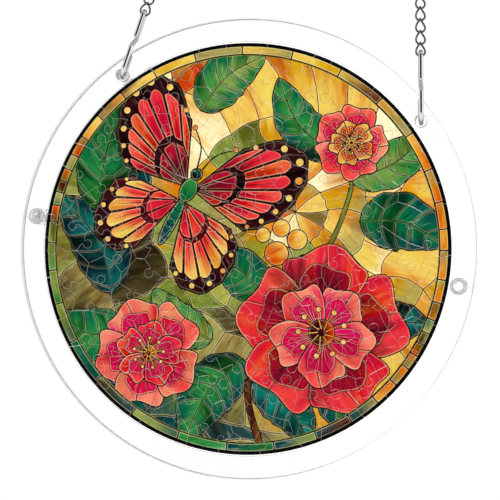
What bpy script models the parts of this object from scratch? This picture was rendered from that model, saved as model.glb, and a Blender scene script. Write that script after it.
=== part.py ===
"""Round acrylic suncatcher with a jigsaw picture, hung by two hooks and chains.

The disc stands in the XZ plane and faces -Y. Two clear plates and a clear
spacer ring hold a round jigsaw of printed acrylic. Two clear screws with hex
nuts clamp the stack at its left and right. A long S-hook goes through a hole
at each upper shoulder, and a run of twisted chain leads from it to a ring.
The origin is halfway between the seats of the two rings.
"""

import math

import bmesh
import bpy
from mathutils import Vector
from mathutils.geometry import delaunay_2d_cdt

MM = 0.001
CLEARANCE = 0.3 * MM  # between neighbouring solids

DISC_RADIUS = 100.0 * MM
PLATE_THICKNESS = 2.0 * MM
PUZZLE_THICKNESS = 2.6 * MM
PUZZLE_RADIUS = 89.5 * MM
PUZZLE_PLAY = 0.6 * MM  # between the jigsaw's rim and the spacer ring
HALF_STACK = PUZZLE_THICKNESS / 2 + CLEARANCE + PLATE_THICKNESS

BORE_CIRCLE_RADIUS = 93.8 * MM  # the circle on which all four bores lie
HOLE_RADIUS = 2.5 * MM
HOLE_ANGLE = math.radians(45)  # from the top, each way

SHANK_RADIUS = 1.9 * MM
SCREW_HEAD_RADIUS = 3.6 * MM
SCREW_HEAD_HEIGHT = 2.0 * MM
SLOT_WIDTH = 1.0 * MM
SLOT_DEPTH = 0.8 * MM
SLOT_TURN = math.radians(50)
SCREW_TIP_CHAMFER = 0.4 * MM
SCREW_STICKS_OUT = 0.8 * MM  # past the nut
SCREW_DROP = 0.9 * MM  # of both screws below the disc's middle
NUT_ACROSS_FLATS = 7.0 * MM
NUT_THICKNESS = 3.0 * MM

LEAN = math.radians(9.7)  # of each hook and chain, inwards
HOOK_SWIVEL = math.radians(5)  # of each hook round its own length, in the play of its hole
HOOK_WIRE_RADIUS = 1.05 * MM
HOOK_PLAY = 1.2 * MM  # between the hook's straight legs and the clear stack
LOWER_BEND = HALF_STACK + HOOK_PLAY + HOOK_WIRE_RADIUS  # to the wire's centre line, as the next
UPPER_BEND = 2.7 * MM
LOWER_TIP = 9.9 * MM  # heights on the hook are above its hole's centre
CROSSING_START = 12.6 * MM
CROSSING_END = 17.7 * MM
UPPER_TIP = 17.6 * MM
HOOK_TOP = 30.8 * MM

LINKS = 6
LINK_WIRE_RADIUS = 0.45 * MM
LINK_LENGTH = 5.9 * MM  # along the wire's centre line, as the width
LINK_WIDTH = 4.6 * MM
LINK_TWIST = math.radians(90)  # of one end against the other
LINK_BITE = 0.12 * MM  # how far fused links go into each other
LINK_PITCH = LINK_LENGTH - 2 * LINK_WIRE_RADIUS + LINK_BITE

RING_RADIUS = 5.0 * MM  # to the wire's centre line
RING_WIRE_RADIUS = 0.65 * MM

PIECES = 150
GROUPS = 30  # the solids that the pieces are fused into
PIECE_SPACING = PUZZLE_RADIUS * math.sqrt(math.pi / PIECES)
SEED_REACH = 0.965 * PUZZLE_RADIUS
SEED_SWAY = 0.17 * PIECE_SPACING  # how far a piece's seed leaves the even pattern
SHORTEST_CUT = 2.4 * MM  # corners of the jigsaw closer than this become one
SHORTEST_KNOBBED_CUT = 5.0 * MM
KNOB_RADIUS = 1.9 * MM
KNOB_VARIATION = 0.16
KNOB_REACH = 1.5  # from the cut to the middle of its knob, in knob radii
KNOB_ROOM = 0.8 * MM  # that a knob leaves to the cuts round it
KNOB_ARC = (192, 128, 52, -12)  # degrees of the points round a knob
KNOB_NECK = (0.5, -1.1)  # half width and level of its neck, in knob radii
MOST_KNOBS = 3  # that go into one piece, or 1 across two groups

ROUND = 64  # sides of the plates
SMALL_ROUND = 12  # sides of the bores


def clear_scene():
    for thing in list(bpy.data.objects):
        bpy.data.objects.remove(thing, do_unlink=True)


def material(name, colour, roughness, metallic=0.0, transmission=0.0):
    made = bpy.data.materials.new(name)
    made.use_nodes = True
    shader = made.node_tree.nodes["Principled BSDF"]
    shader.inputs["Base Color"].default_value = (*colour, 1.0)
    shader.inputs["Roughness"].default_value = roughness
    shader.inputs["Metallic"].default_value = metallic
    shader.inputs["Transmission Weight"].default_value = transmission
    return made


def add_object(name, data, finish, parent, location=(0, 0, 0)):
    made = bpy.data.objects.new(name, data)
    data.materials.append(finish)
    bpy.context.collection.objects.link(made)
    made.parent = parent
    made.location = location
    return made


def add_empty(name, parent=None, location=(0, 0, 0), lean=0.0):
    made = bpy.data.objects.new(name, None)
    bpy.context.collection.objects.link(made)
    made.parent = parent
    made.location = location
    made.rotation_euler.y = lean
    return made


def mesh_from(form, name, smooth=False):
    bmesh.ops.recalc_face_normals(form, faces=form.faces[:])
    mesh = bpy.data.meshes.new(name)
    form.to_mesh(mesh)
    form.free()
    if smooth:
        mesh.shade_smooth()
        mesh.set_sharp_from_angle(angle=math.radians(35))
    return mesh


def prism(outline, front, back, form=None):
    """Extrudes an outline of (x, z) points from y = front to y = back."""
    form = form or bmesh.new()
    near = [form.verts.new((x, front, z)) for x, z in outline]
    far = [form.verts.new((x, back, z)) for x, z in outline]
    form.faces.new(near)
    form.faces.new(far[::-1])
    for i in range(len(outline)):
        form.faces.new((near[i - 1], near[i], far[i], far[i - 1]))
    return form


def circle(radius, sides, centre=(0, 0), turn=0.0):
    """Points round a circle in the XZ plane, as (x, z)."""
    angles = [turn + math.tau * i / sides for i in range(sides)]
    return [
        (centre[0] + radius * math.cos(a), centre[1] + radius * math.sin(a))
        for a in angles
    ]


def turned(profile, sides):
    """Turns a profile of (radius, y) points round the Y axis. It starts and ends at radius 0."""
    form = bmesh.new()
    rings = []
    for radius, y in profile:
        if radius:
            ring = [form.verts.new((x, y, z)) for x, z in circle(radius, sides)]
        else:
            ring = [form.verts.new((0, y, 0))] * sides
        rings.append(ring)
    for low, high in zip(rings, rings[1:]):
        for i in range(sides):
            corners = [low[i - 1], low[i], high[i], high[i - 1]]
            form.faces.new(list(dict.fromkeys(corners)))
    return form


def tube(path, radius, sides, flat_normal):
    """A closed ring of wire round a closed path of points."""
    form = bmesh.new()
    rings = []
    for i, point in enumerate(path):
        along = (path[(i + 1) % len(path)] - path[i - 1]).normalized()
        across = along.cross(flat_normal(i)).normalized()
        up = across.cross(along)
        rings.append(
            [
                form.verts.new(
                    point
                    + radius * (math.cos(a) * across + math.sin(a) * up)
                )
                for a in (math.tau * k / sides for k in range(sides))
            ]
        )
    for i in range(len(rings)):
        for k in range(sides):
            form.faces.new(
                (rings[i - 1][k - 1], rings[i - 1][k], rings[i][k], rings[i][k - 1])
            )
    return form


# The clear stack ---------------------------------------------------------------


def hole_places():
    x = BORE_CIRCLE_RADIUS * math.sin(HOLE_ANGLE)
    z = BORE_CIRCLE_RADIUS * math.cos(HOLE_ANGLE)
    return {"left": (-x, z), "right": (x, z)}


def screw_places():
    return {"left": (-BORE_CIRCLE_RADIUS, -SCREW_DROP), "right": (BORE_CIRCLE_RADIUS, -SCREW_DROP)}


def as_helper(thing):
    """Keeps a cutter out of the part."""
    thing.hide_render = True
    thing.display_type = "WIRE"


def add_bore_cutter(parent, finish):
    form = bmesh.new()
    for place in hole_places().values():
        outline = circle(HOLE_RADIUS, SMALL_ROUND, place)
        prism(outline, -2 * HALF_STACK, 2 * HALF_STACK, form)
    for place in screw_places().values():
        outline = circle(SHANK_RADIUS + CLEARANCE, SMALL_ROUND, place)
        prism(outline, -2 * HALF_STACK, 2 * HALF_STACK, form)
    cutter = add_object("bore_cutter", mesh_from(form, "bore_cutter"), finish, parent)
    as_helper(cutter)
    return cutter


def cut_by(thing, cutter, operation="DIFFERENCE"):
    cut = thing.modifiers.new("cut_by_" + cutter.name, "BOOLEAN")
    cut.operation = operation
    cut.object = cutter
    cut.solver = "EXACT"


def add_plate(name, front, back, cutter, parent, finish):
    form = prism(circle(DISC_RADIUS, ROUND), front, back)
    cut_by(add_object(name, mesh_from(form, name), finish, parent), cutter)


def add_spacer_ring(cutter, parent, finish):
    form = bmesh.new()
    half = PUZZLE_THICKNESS / 2
    loops = [
        [form.verts.new((x, y, z)) for x, z in circle(radius, ROUND)]
        for radius, y in (
            (DISC_RADIUS, -half),
            (DISC_RADIUS, half),
            (PUZZLE_RADIUS + PUZZLE_PLAY, half),
            (PUZZLE_RADIUS + PUZZLE_PLAY, -half),
        )
    ]
    for k in range(4):
        for i in range(ROUND):
            low, high = loops[k - 1], loops[k]
            form.faces.new((low[i - 1], low[i], high[i], high[i - 1]))
    mesh = mesh_from(form, "spacer_ring")
    cut_by(add_object("spacer_ring", mesh, finish, parent), cutter)


# The jigsaw --------------------------------------------------------------------


def vary(i, j):
    """A repeatable number from -1 to 1 that looks random."""
    return math.sin(12.9 * i + 78.2 * j + 0.7)


def sunflower(count, radius):
    """Points spread evenly over a disc, each a golden angle on from the last."""
    turn = math.pi * (3 - math.sqrt(5))
    return [
        radius * math.sqrt((i + 0.5) / count) * Vector((math.cos(i * turn), math.sin(i * turn)))
        for i in range(count)
    ]


def circumcentre(a, b, c):
    ab, ac = b - a, c - a
    twice = 2 * ab.cross(ac)
    normal_ab, normal_ac = Vector((-ab.y, ab.x)), Vector((-ac.y, ac.x))
    return a + (ac.length_squared * normal_ab - ab.length_squared * normal_ac) / twice


def piece_seeds():
    """One point in each piece, a little out of the even pattern."""
    return [
        seed + SEED_SWAY * Vector((vary(i, 1), vary(i, 2)))
        for i, seed in enumerate(sunflower(PIECES, SEED_REACH))
    ]


def middle(points, ring):
    return sum((points[c] for c in ring), Vector((0, 0))) / len(ring)


def jigsaw_corners(seeds):
    """Where three or more pieces meet: (points, the corners of each piece in order)."""
    edge_seeds = [s for s in seeds if s.length > PUZZLE_RADIUS - 2 * PIECE_SPACING]
    mirrored = [s * (2 * PUZZLE_RADIUS / s.length - 1) for s in edge_seeds]
    made = delaunay_2d_cdt(seeds + mirrored, [], [], 0, 1e-9)
    places, triangles, source = made[0], made[2], made[3]
    points, owners = [], []
    for triangle in triangles:
        touched = [source[v][0] for v in triangle]
        inner = [s for s in touched if s < len(seeds)]
        if not inner:
            continue
        point = circumcentre(*(places[v] for v in triangle))
        if len(inner) < 3:
            point = point.normalized() * PUZZLE_RADIUS
        points.append(point)
        owners.append(inner)
    same = list(range(len(points)))
    for i, point in enumerate(points):
        for j in range(i):
            if (points[j] - point).length < SHORTEST_CUT:
                same[i] = same[j]
                break
    rings = [set() for _ in seeds]
    for i, inner in enumerate(owners):
        for s in inner:
            rings[s].add(same[i])
    pieces = []
    for ring in rings:
        inside = middle(points, ring)
        pieces.append(sorted(ring, key=lambda c: math.atan2(*(points[c] - inside).yx)))
    return points, pieces


def piece_groups(seeds):
    """The group that each piece is fused into: that of the nearest middle."""
    middles = sunflower(GROUPS, PUZZLE_RADIUS)
    return [min(range(GROUPS), key=lambda g: (middles[g] - s).length) for s in seeds]


def cut_owners(pieces):
    """The pieces on each cut between two corners. A cut with one piece lies on the rim."""
    owners = {}
    for piece, ring in enumerate(pieces):
        for i, corner in enumerate(ring):
            owners.setdefault(tuple(sorted((ring[i - 1], corner))), []).append(piece)
    return owners


def gap_to_line(point, a, b):
    along = b - a
    t = max(0.0, min(1.0, (point - a).dot(along) / along.length_squared))
    return (point - a - t * along).length


def room_round(head, cut, points, owners, knobs):
    """How far a knob's middle is from the rim and from the other cuts and knobs."""
    gaps = [PUZZLE_RADIUS - head.length]
    for other in owners:
        a, b = points[other[0]], points[other[1]]
        if other != cut and (a - head).length < 3 * PIECE_SPACING:
            gaps.append(gap_to_line(head, a, b))
    for _, other_head, radius in knobs.values():
        gaps.append((head - other_head).length - radius)
    return min(gaps)


def place_knobs(points, pieces, groups):
    """Gives cuts a knob where there is room, the longest first: {cut: (side, head, radius)}."""
    owners = cut_owners(pieces)
    inner = [cut for cut, both in owners.items() if len(both) == 2]
    inner.sort(key=lambda cut: (points[cut[0]] - points[cut[1]]).length, reverse=True)
    knobs = {}
    knobs_in = [0] * len(pieces)
    for cut in inner:
        a, b = points[cut[0]], points[cut[1]]
        if (b - a).length < SHORTEST_KNOBBED_CUT:
            continue
        first, second = owners[cut]
        most = MOST_KNOBS if groups[first] == groups[second] else 1
        radius = KNOB_RADIUS * (1 + KNOB_VARIATION * vary(*cut))
        normal = Vector((a.y - b.y, b.x - a.x)).normalized()
        best = None
        for side in (1, -1):
            head = (a + b) / 2 + side * KNOB_REACH * radius * normal
            into = min(owners[cut], key=lambda p: (middle(points, pieces[p]) - head).length)
            if knobs_in[into] >= most:
                continue
            room = room_round(head, cut, points, owners, knobs)
            if room > radius + KNOB_ROOM and (best is None or room > best[0]):
                best = (room, side, head, into)
        if best:
            knobs[cut] = (best[1], best[2], radius)
            knobs_in[best[3]] += 1
    return knobs


def cut_line(cut, points, knobs):
    """The points of one cut from its lower-numbered corner to the other, without the last."""
    a, b = points[cut[0]], points[cut[1]]
    if cut not in knobs:
        return [a]
    side, head, radius = knobs[cut]
    along = (b - a).normalized()
    out = side * Vector((-along.y, along.x))
    neck, level = KNOB_NECK
    shape = [(-neck, level)]
    shape += [(math.cos(math.radians(t)), math.sin(math.radians(t))) for t in KNOB_ARC]
    shape += [(neck, level)]
    return [a] + [head + radius * (u * along + v * out) for u, v in shape]


def rim_line(start, end):
    """Points on the rim from one corner towards the next, without the last."""
    first = math.atan2(start.y, start.x)
    turn = (math.atan2(end.y, end.x) - first + math.pi) % math.tau - math.pi
    steps = max(1, round(abs(turn) / math.radians(5)))
    angles = [first + turn * i / steps for i in range(steps)]
    return [PUZZLE_RADIUS * Vector((math.cos(a), math.sin(a))) for a in angles]


def group_outline(group, groups, points, pieces, knobs):
    """The outline of one group of pieces, along its real cuts and the rim."""
    owners = cut_owners(pieces)
    following = {}
    for piece, ring in enumerate(pieces):
        if groups[piece] != group:
            continue
        for i, corner in enumerate(ring):
            both = owners[tuple(sorted((ring[i - 1], corner)))]
            if len(both) == 1 or groups[both[0]] != groups[both[1]]:
                following[ring[i - 1]] = corner
    start = next(iter(following))
    outline, corner = [], start
    while True:
        onward = following[corner]
        cut = tuple(sorted((corner, onward)))
        if len(owners[cut]) == 1:
            outline += rim_line(points[corner], points[onward])
        elif cut[0] == corner:
            outline += cut_line(cut, points, knobs)
        else:
            back = cut_line(cut, points, knobs)[1:]
            outline += [points[corner]] + back[::-1]
        corner = onward
        if corner == start:
            return outline


def inset(outline, distance):
    """Moves a counter-clockwise outline inwards."""
    moved = []
    for i, point in enumerate(outline):
        before = (point - outline[i - 1]).normalized()
        after = (outline[(i + 1) % len(outline)] - point).normalized()
        inward = Vector((-before.y - after.y, before.x + after.x)).normalized()
        slope = max(0.35, inward.dot(Vector((-before.y, before.x))))
        moved.append(point + inward * distance / slope)
    return moved


def add_puzzle(parent, finish):
    seeds = piece_seeds()
    points, pieces = jigsaw_corners(seeds)
    groups = piece_groups(seeds)
    knobs = place_knobs(points, pieces, groups)
    for group in range(GROUPS):
        outline = group_outline(group, groups, points, pieces, knobs)
        outline = inset(outline, CLEARANCE / 2)
        name = f"puzzle_group_{group + 1:02d}"
        form = prism(outline, -PUZZLE_THICKNESS / 2, PUZZLE_THICKNESS / 2)
        add_object(name, mesh_from(form, name), finish, parent)


# Screws and nuts ---------------------------------------------------------------


def add_screw(side, place, parent, finish):
    """A slotted screw with a domed head in front."""
    seat = -HALF_STACK - CLEARANCE
    end = HALF_STACK + CLEARANCE + NUT_THICKNESS + SCREW_STICKS_OUT
    top = seat - SCREW_HEAD_HEIGHT
    profile = [
        (0, top),
        (0.55 * SCREW_HEAD_RADIUS, top + 0.1 * SCREW_HEAD_HEIGHT),
        (0.88 * SCREW_HEAD_RADIUS, top + 0.4 * SCREW_HEAD_HEIGHT),
        (SCREW_HEAD_RADIUS, seat - 0.25 * SCREW_HEAD_HEIGHT),
        (SCREW_HEAD_RADIUS, seat),
        (SHANK_RADIUS, seat),
        (SHANK_RADIUS, end - SCREW_TIP_CHAMFER),
        (SHANK_RADIUS - SCREW_TIP_CHAMFER, end),
        (0, end),
    ]
    name = "screw_" + side
    at = (place[0], 0, place[1])
    mesh = mesh_from(turned(profile, SMALL_ROUND), name, smooth=True)
    screw = add_object(name, mesh, finish, parent, at)
    reach = 1.3 * SCREW_HEAD_RADIUS
    half = SLOT_WIDTH / 2
    corners = [(-reach, -half), (reach, -half), (reach, half), (-reach, half)]
    form = prism(corners, top - SLOT_DEPTH, top + SLOT_DEPTH)
    slot = add_object("slot_cutter_" + side, mesh_from(form, "slot_cutter"), finish, parent, at)
    slot.rotation_euler.y = SLOT_TURN
    as_helper(slot)
    cut_by(screw, slot)


def midway(a, b):
    return ((a[0] + b[0]) / 2, (a[1] + b[1]) / 2)


def add_nut(side, place, parent, finish):
    form = bmesh.new()
    front = HALF_STACK + CLEARANCE
    back = front + NUT_THICKNESS
    turn = math.radians(30)
    corners = circle(NUT_ACROSS_FLATS / math.sqrt(3), 6, turn=turn)
    outside = []
    for i, corner in enumerate(corners):
        outside += [corner, midway(corner, corners[(i + 1) % 6])]
    inside = circle(SHANK_RADIUS + CLEARANCE, SMALL_ROUND, turn=turn)
    loops = []
    for outline, y in ((outside, front), (outside, back), (inside, back), (inside, front)):
        loops.append([form.verts.new((x, y, z)) for x, z in outline])
    for k in range(4):
        for i in range(SMALL_ROUND):
            low, high = loops[k - 1], loops[k]
            form.faces.new((low[i - 1], low[i], high[i], high[i - 1]))
    name = "nut_" + side
    add_object(name, mesh_from(form, name), finish, parent, (place[0], 0, place[1]))


# What it hangs by --------------------------------------------------------------


def lower_bend_height():
    """Height of the lower bend's centre above the hole's: the hole's top edges bear on its wire."""
    hole_top = HOLE_RADIUS * math.cos(math.pi / SMALL_ROUND)
    inside = LOWER_BEND - HOOK_WIRE_RADIUS - CLEARANCE
    return hole_top + math.sqrt(inside**2 - HALF_STACK**2)


def hook_path():
    """The S-hook's centre line, in the YZ plane, up from the tip of its short leg behind the disc."""
    low = lower_bend_height()
    top = HOOK_TOP - HOOK_WIRE_RADIUS - UPPER_BEND
    path = [(LOWER_BEND, LOWER_TIP)]
    for i in range(9):
        a = -math.pi * i / 8
        path.append((LOWER_BEND * math.cos(a), low + LOWER_BEND * math.sin(a)))
    for i in range(5):
        share = i / 4
        ease = share * share * (3 - 2 * share)
        y = -LOWER_BEND + ease * (LOWER_BEND + UPPER_BEND)
        path.append((y, CROSSING_START + share * (CROSSING_END - CROSSING_START)))
    for i in range(8):
        a = math.pi * i / 7
        path.append((UPPER_BEND * math.cos(a), top + UPPER_BEND * math.sin(a)))
    path.append((-UPPER_BEND, UPPER_TIP))
    return [Vector((0, y, z)) for y, z in path]


def add_hook(side, parent, finish):
    curve = bpy.data.curves.new("hook_" + side, "CURVE")
    curve.dimensions = "3D"
    curve.bevel_depth = HOOK_WIRE_RADIUS
    curve.bevel_resolution = 1
    curve.use_fill_caps = True
    path = hook_path()
    spline = curve.splines.new("POLY")
    spline.points.add(len(path) - 1)
    for point, place in zip(spline.points, path):
        point.co = (*place, 1)
    hook = add_object("hook_" + side, curve, finish, parent)
    hook.rotation_euler.z = HOOK_SWIVEL


def link_path(steps=12):
    """One oval link, twisted about Z: its lower end lies along X and its upper end along Y."""
    path = []
    for i in range(steps):
        a = math.tau * i / steps
        across, height = LINK_WIDTH / 2 * math.cos(a), LINK_LENGTH / 2 * math.sin(a)
        turn = link_turn(height)
        path.append(Vector((across * math.cos(turn), across * math.sin(turn), height)))
    return path


def link_turn(height):
    return LINK_TWIST * (height / LINK_LENGTH + 0.5)


def links(name, heights):
    form = bmesh.new()
    for height in heights:
        link_middle = Vector((0, 0, height))
        path = [point + link_middle for point in link_path()]
        one = tube(path, LINK_WIRE_RADIUS, 5, lambda i: link_normal(path[i] - link_middle))
        mesh = bpy.data.meshes.new("link")
        one.to_mesh(mesh)
        one.free()
        form.from_mesh(mesh)
        bpy.data.meshes.remove(mesh)
    return mesh_from(form, name)


def link_normal(place):
    turn = link_turn(place.z)
    return Vector((-math.sin(turn), math.cos(turn), 0))


def first_link_height():
    """Height of the first link's middle: its lower end passes under the hook's top."""
    hook_inside = HOOK_TOP - 2 * HOOK_WIRE_RADIUS
    return hook_inside - CLEARANCE - LINK_WIRE_RADIUS + LINK_LENGTH / 2


def add_chain(side, parent, finish):
    name = "chain_" + side
    heights = [first_link_height() + LINK_PITCH * i for i in range(LINKS)]
    chain = add_object(name, links(name, heights[::2]), finish, parent)
    others = add_object(name + "_other_links", links(name, heights[1::2]), finish, parent)
    as_helper(others)
    cut_by(chain, others, "UNION")


def ring_height():
    """Height of the end ring's centre: its wire passes under the last link's upper end."""
    last_end = first_link_height() + LINK_PITCH * (LINKS - 1) + LINK_LENGTH / 2
    return last_end - LINK_WIRE_RADIUS - CLEARANCE - RING_WIRE_RADIUS + RING_RADIUS


def add_end_ring(side, parent, finish):
    path = [Vector((x, 0, z)) for x, z in circle(RING_RADIUS, 20)]
    form = tube(path, RING_WIRE_RADIUS, 6, lambda i: Vector((0, 1, 0)))
    name = "end_ring_" + side
    mesh = mesh_from(form, name, smooth=True)
    add_object(name, mesh, finish, parent, (0, 0, ring_height()))


def hanging_height():
    """Height of the end rings' seats above the disc's centre."""
    seat = ring_height() + RING_RADIUS - RING_WIRE_RADIUS
    return hole_places()["left"][1] + seat * math.cos(LEAN)


def build():
    clear_scene()
    clear = material("clear_acrylic", (0.95, 0.96, 0.98), 0.02, transmission=1.0)
    printed = material("printed_acrylic", (0.72, 0.30, 0.16), 0.18)
    chrome = material("polished_steel", (0.75, 0.75, 0.77), 0.08, metallic=1.0)
    disc = add_empty("disc_centre", location=(0, 0, -hanging_height()))
    cutter = add_bore_cutter(disc, clear)
    inner = PUZZLE_THICKNESS / 2 + CLEARANCE
    add_plate("front_plate", -HALF_STACK, -inner, cutter, disc, clear)
    add_plate("back_plate", inner, HALF_STACK, cutter, disc, clear)
    add_spacer_ring(cutter, disc, clear)
    add_puzzle(disc, printed)
    for side, place in screw_places().items():
        add_screw(side, place, disc, clear)
        add_nut(side, place, disc, clear)
    for side, (x, z) in hole_places().items():
        lean = LEAN if side == "left" else -LEAN
        hanger = add_empty("hang_" + side, disc, (x, 0, z), lean)
        add_hook(side, hanger, chrome)
        add_chain(side, hanger, chrome)
        add_end_ring(side, hanger, chrome)


if __name__ == "__main__":
    build()
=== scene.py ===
"""A round suncatcher: a printed acrylic jigsaw between two clear discs, hung by hooks and chains."""

import math

import bpy
import numpy as np
from mathutils import Matrix, Quaternion, Vector
from mathutils.geometry import delaunay_2d_cdt


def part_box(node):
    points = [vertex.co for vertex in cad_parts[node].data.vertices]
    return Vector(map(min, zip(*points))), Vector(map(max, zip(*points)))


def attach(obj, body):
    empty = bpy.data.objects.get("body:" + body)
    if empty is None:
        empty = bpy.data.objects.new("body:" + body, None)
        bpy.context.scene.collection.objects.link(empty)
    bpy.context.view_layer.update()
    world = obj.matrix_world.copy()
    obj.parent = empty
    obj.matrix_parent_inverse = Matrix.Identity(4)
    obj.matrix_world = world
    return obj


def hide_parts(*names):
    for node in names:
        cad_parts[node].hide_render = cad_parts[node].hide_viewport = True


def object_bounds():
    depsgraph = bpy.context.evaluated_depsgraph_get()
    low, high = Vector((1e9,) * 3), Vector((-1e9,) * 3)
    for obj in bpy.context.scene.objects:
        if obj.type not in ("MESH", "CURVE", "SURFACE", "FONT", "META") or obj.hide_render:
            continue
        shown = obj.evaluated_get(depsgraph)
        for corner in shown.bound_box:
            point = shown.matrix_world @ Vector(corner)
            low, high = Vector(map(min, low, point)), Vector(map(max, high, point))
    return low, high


bl_info = {
    "name": "Acrylic puzzle suncatcher",
    "version": (1, 0, 0),
    "blender": (4, 5, 0),
    "location": "View3D > Sidebar > Suncatcher",
    "description": "Dresses a round acrylic jigsaw suncatcher and the studio it hangs in",
    "category": "Add Mesh",
}

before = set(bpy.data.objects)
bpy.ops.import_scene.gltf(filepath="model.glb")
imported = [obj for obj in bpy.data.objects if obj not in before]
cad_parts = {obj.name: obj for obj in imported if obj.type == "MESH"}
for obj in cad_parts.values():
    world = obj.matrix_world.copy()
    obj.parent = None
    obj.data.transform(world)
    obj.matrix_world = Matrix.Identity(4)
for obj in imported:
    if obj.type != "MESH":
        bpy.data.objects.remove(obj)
CAD_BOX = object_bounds()

MM = 0.001
SIDES = ("left", "right")


def box_middle(node):
    low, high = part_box(node)
    return (low + high) / 2


DISC_CENTRE = box_middle("front_plate")
DISC_RADIUS = (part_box("front_plate")[1].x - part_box("front_plate")[0].x) / 2
SCREW_CIRCLE = abs(box_middle("nut_right").x - DISC_CENTRE.x)
SCREW_HEIGHT = box_middle("nut_right").z - DISC_CENTRE.z
PUZZLE_NODES = sorted(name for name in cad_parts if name.startswith("puzzle_group_"))
PUZZLE_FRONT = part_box(PUZZLE_NODES[0])[0].y
PUZZLE_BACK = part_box(PUZZLE_NODES[0])[1].y


def linear(red, green, blue):
    """A colour given as 0 to 255 on a screen, in the renderer's own values."""
    shares = [value / 255 for value in (red, green, blue)]
    return tuple(s / 12.92 if s < 0.04 else ((s + 0.055) / 1.055) ** 2.4 for s in shares)


# What a user would change ------------------------------------------------------


def length(name, description, default):
    return bpy.props.FloatProperty(
        name=name, description=description, default=default, min=0.0, precision=5, unit="LENGTH"
    )


def angle(name, description, degrees):
    return bpy.props.FloatProperty(
        name=name, description=description, default=math.radians(degrees), subtype="ANGLE"
    )


def ink(name, description, *screen):
    return bpy.props.FloatVectorProperty(
        name=name, description=description, default=linear(*screen), subtype="COLOR", min=0, max=1
    )


class SuncatcherSizes(bpy.types.PropertyGroup):
    """Sizes of the suncatcher's pieces."""

    edge_rounding: length("Edge rounding", "Radius of the outer edges of the clear discs", 0.3 * MM)
    hole_angle: angle("Hole angle", "Angle of each hanging hole from the top", 45)
    hole_radius: length("Hole radius", "Radius of the hanging holes", 2.5 * MM)
    screw_bore: length("Screw bore", "Radius of the bores for the screws", 2.2 * MM)
    spacer_inner_radius: length("Spacer opening", "Radius inside the spacer ring", 90.1 * MM)
    puzzle_radius: length("Jigsaw radius", "Radius of the whole jigsaw", 89.5 * MM)
    pieces: bpy.props.IntProperty(
        name="Jigsaw pieces", description="How many pieces the jigsaw has", default=150, min=20
    )
    kerf: length("Kerf", "Width of the laser's cut between two pieces", 0.1 * MM)
    piece_bevel: length("Piece edge", "Width of the melted edge round each piece", 0.1 * MM)
    lead_width: length("Lead width", "Width of the printed lead lines", 0.42 * MM)
    black_ring: length("Black ring", "Width of the printed black ring at the rim", 1.5 * MM)
    tile_ring: length("Tile border", "Width of the printed border of small tiles", 3.5 * MM)
    picture_turn: angle("Picture turn", "How far the picture is turned on the disc", 8.8)
    screw_head: length("Screw head", "Radius of each screw's head", 3.6 * MM)
    screw_shank: length("Screw shank", "Radius of each screw's shank", 1.9 * MM)
    thread_pitch: length("Thread pitch", "Pitch of the screws' thread", 0.7 * MM)
    nut_width: length("Nut width", "Width of each nut across its flats", 7.0 * MM)
    hook_wire: length("Hook wire", "Radius of the hooks' wire", 1.05 * MM)
    link_wire: length("Link wire", "Radius of the chains' wire", 0.45 * MM)
    ring_wire: length("Ring wire", "Radius of the end rings' wire", 0.65 * MM)


class SuncatcherColours(bpy.types.PropertyGroup):
    """Inks of the printed picture, and the tint of the clear and metal pieces."""

    lead: ink("Lead", "Printed lead lines", 22, 13, 10)
    black: ink("Black", "Ring at the jigsaw's rim", 4, 3, 4)
    crimson: ink("Crimson", "Heart of the petals and wings", 202, 18, 56)
    magenta: ink("Magenta", "Folds of the petals", 218, 14, 104)
    coral: ink("Coral", "Outer petals", 234, 84, 86)
    salmon: ink("Salmon", "Tips of the petals", 244, 144, 124)
    orange: ink("Orange", "Warm panes", 222, 124, 26)
    amber: ink("Amber", "Sky panes", 210, 150, 42)
    honey: ink("Honey", "Pale sky panes", 236, 198, 106)
    cream: ink("Cream", "Palest sky panes", 254, 244, 204)
    tan: ink("Tan", "Muted panes", 168, 154, 92)
    brown: ink("Brown", "Stems and border tiles", 112, 64, 32)
    umber: ink("Umber", "Shaded panes", 84, 74, 42)
    maroon: ink("Maroon", "Edges of the wings", 104, 22, 32)
    wine: ink("Wine", "Darkest folds", 46, 10, 18)
    olive: ink("Olive", "Muted green panes", 124, 138, 56)
    moss: ink("Moss", "Soft green panes", 150, 160, 82)
    leaf: ink("Leaf", "Bright leaves", 58, 140, 66)
    emerald: ink("Emerald", "Deep leaves", 12, 104, 62)
    teal: ink("Teal", "Cool leaves", 14, 130, 116)
    deep_teal: ink("Deep teal", "Shadows of the leaves", 6, 68, 74)
    night: ink("Night", "Coldest shadows", 6, 32, 40)
    clear: ink("Clear acrylic", "Tint of the clear discs", 252, 252, 251)
    # Greyer than the clear tint: painted shade that draws the discs' rims as grey lines.
    rim: ink("Polished rim", "Tint of the clear discs' rims, seen along the sheet", 228, 228, 232)
    edge: ink("Cut edge", "Tint of the bores and the rounded outer edges", 240, 240, 244)
    nylon: ink("Nylon", "Tint of the screws and nuts", 251, 251, 250)
    steel: ink("Steel", "Tint of the hooks and end rings", 244, 244, 246)
    chain_steel: ink("Chain steel", "Tint of the chains", 128, 128, 132)


class SuncatcherStudio(bpy.types.PropertyGroup):
    """The camera and the light."""

    azimuth: angle("Azimuth", "How far the camera stands round to the right", 9.0)
    elevation: angle("Elevation", "How far the camera looks down", 0.6)
    roll: angle("Roll", "How far the camera is rolled", 9.35)
    distance: length("Distance", "From the camera to the disc", 0.8)
    lens: bpy.props.FloatProperty(
        name="Lens", description="Focal length", default=132.4, unit="CAMERA"
    )
    backdrop: bpy.props.FloatProperty(
        name="Backdrop", description="Brightness of the white backdrop", default=1.4, min=0
    )


# Meshes ------------------------------------------------------------------------


def add_piece(name, mesh, slot, *nodes):
    """A finished piece, hung on the part in place of the plain solids it stands for."""
    piece = bpy.data.objects.new(name, mesh)
    bpy.context.scene.collection.objects.link(piece)
    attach(piece, "root")
    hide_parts(*nodes)
    return piece


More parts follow.
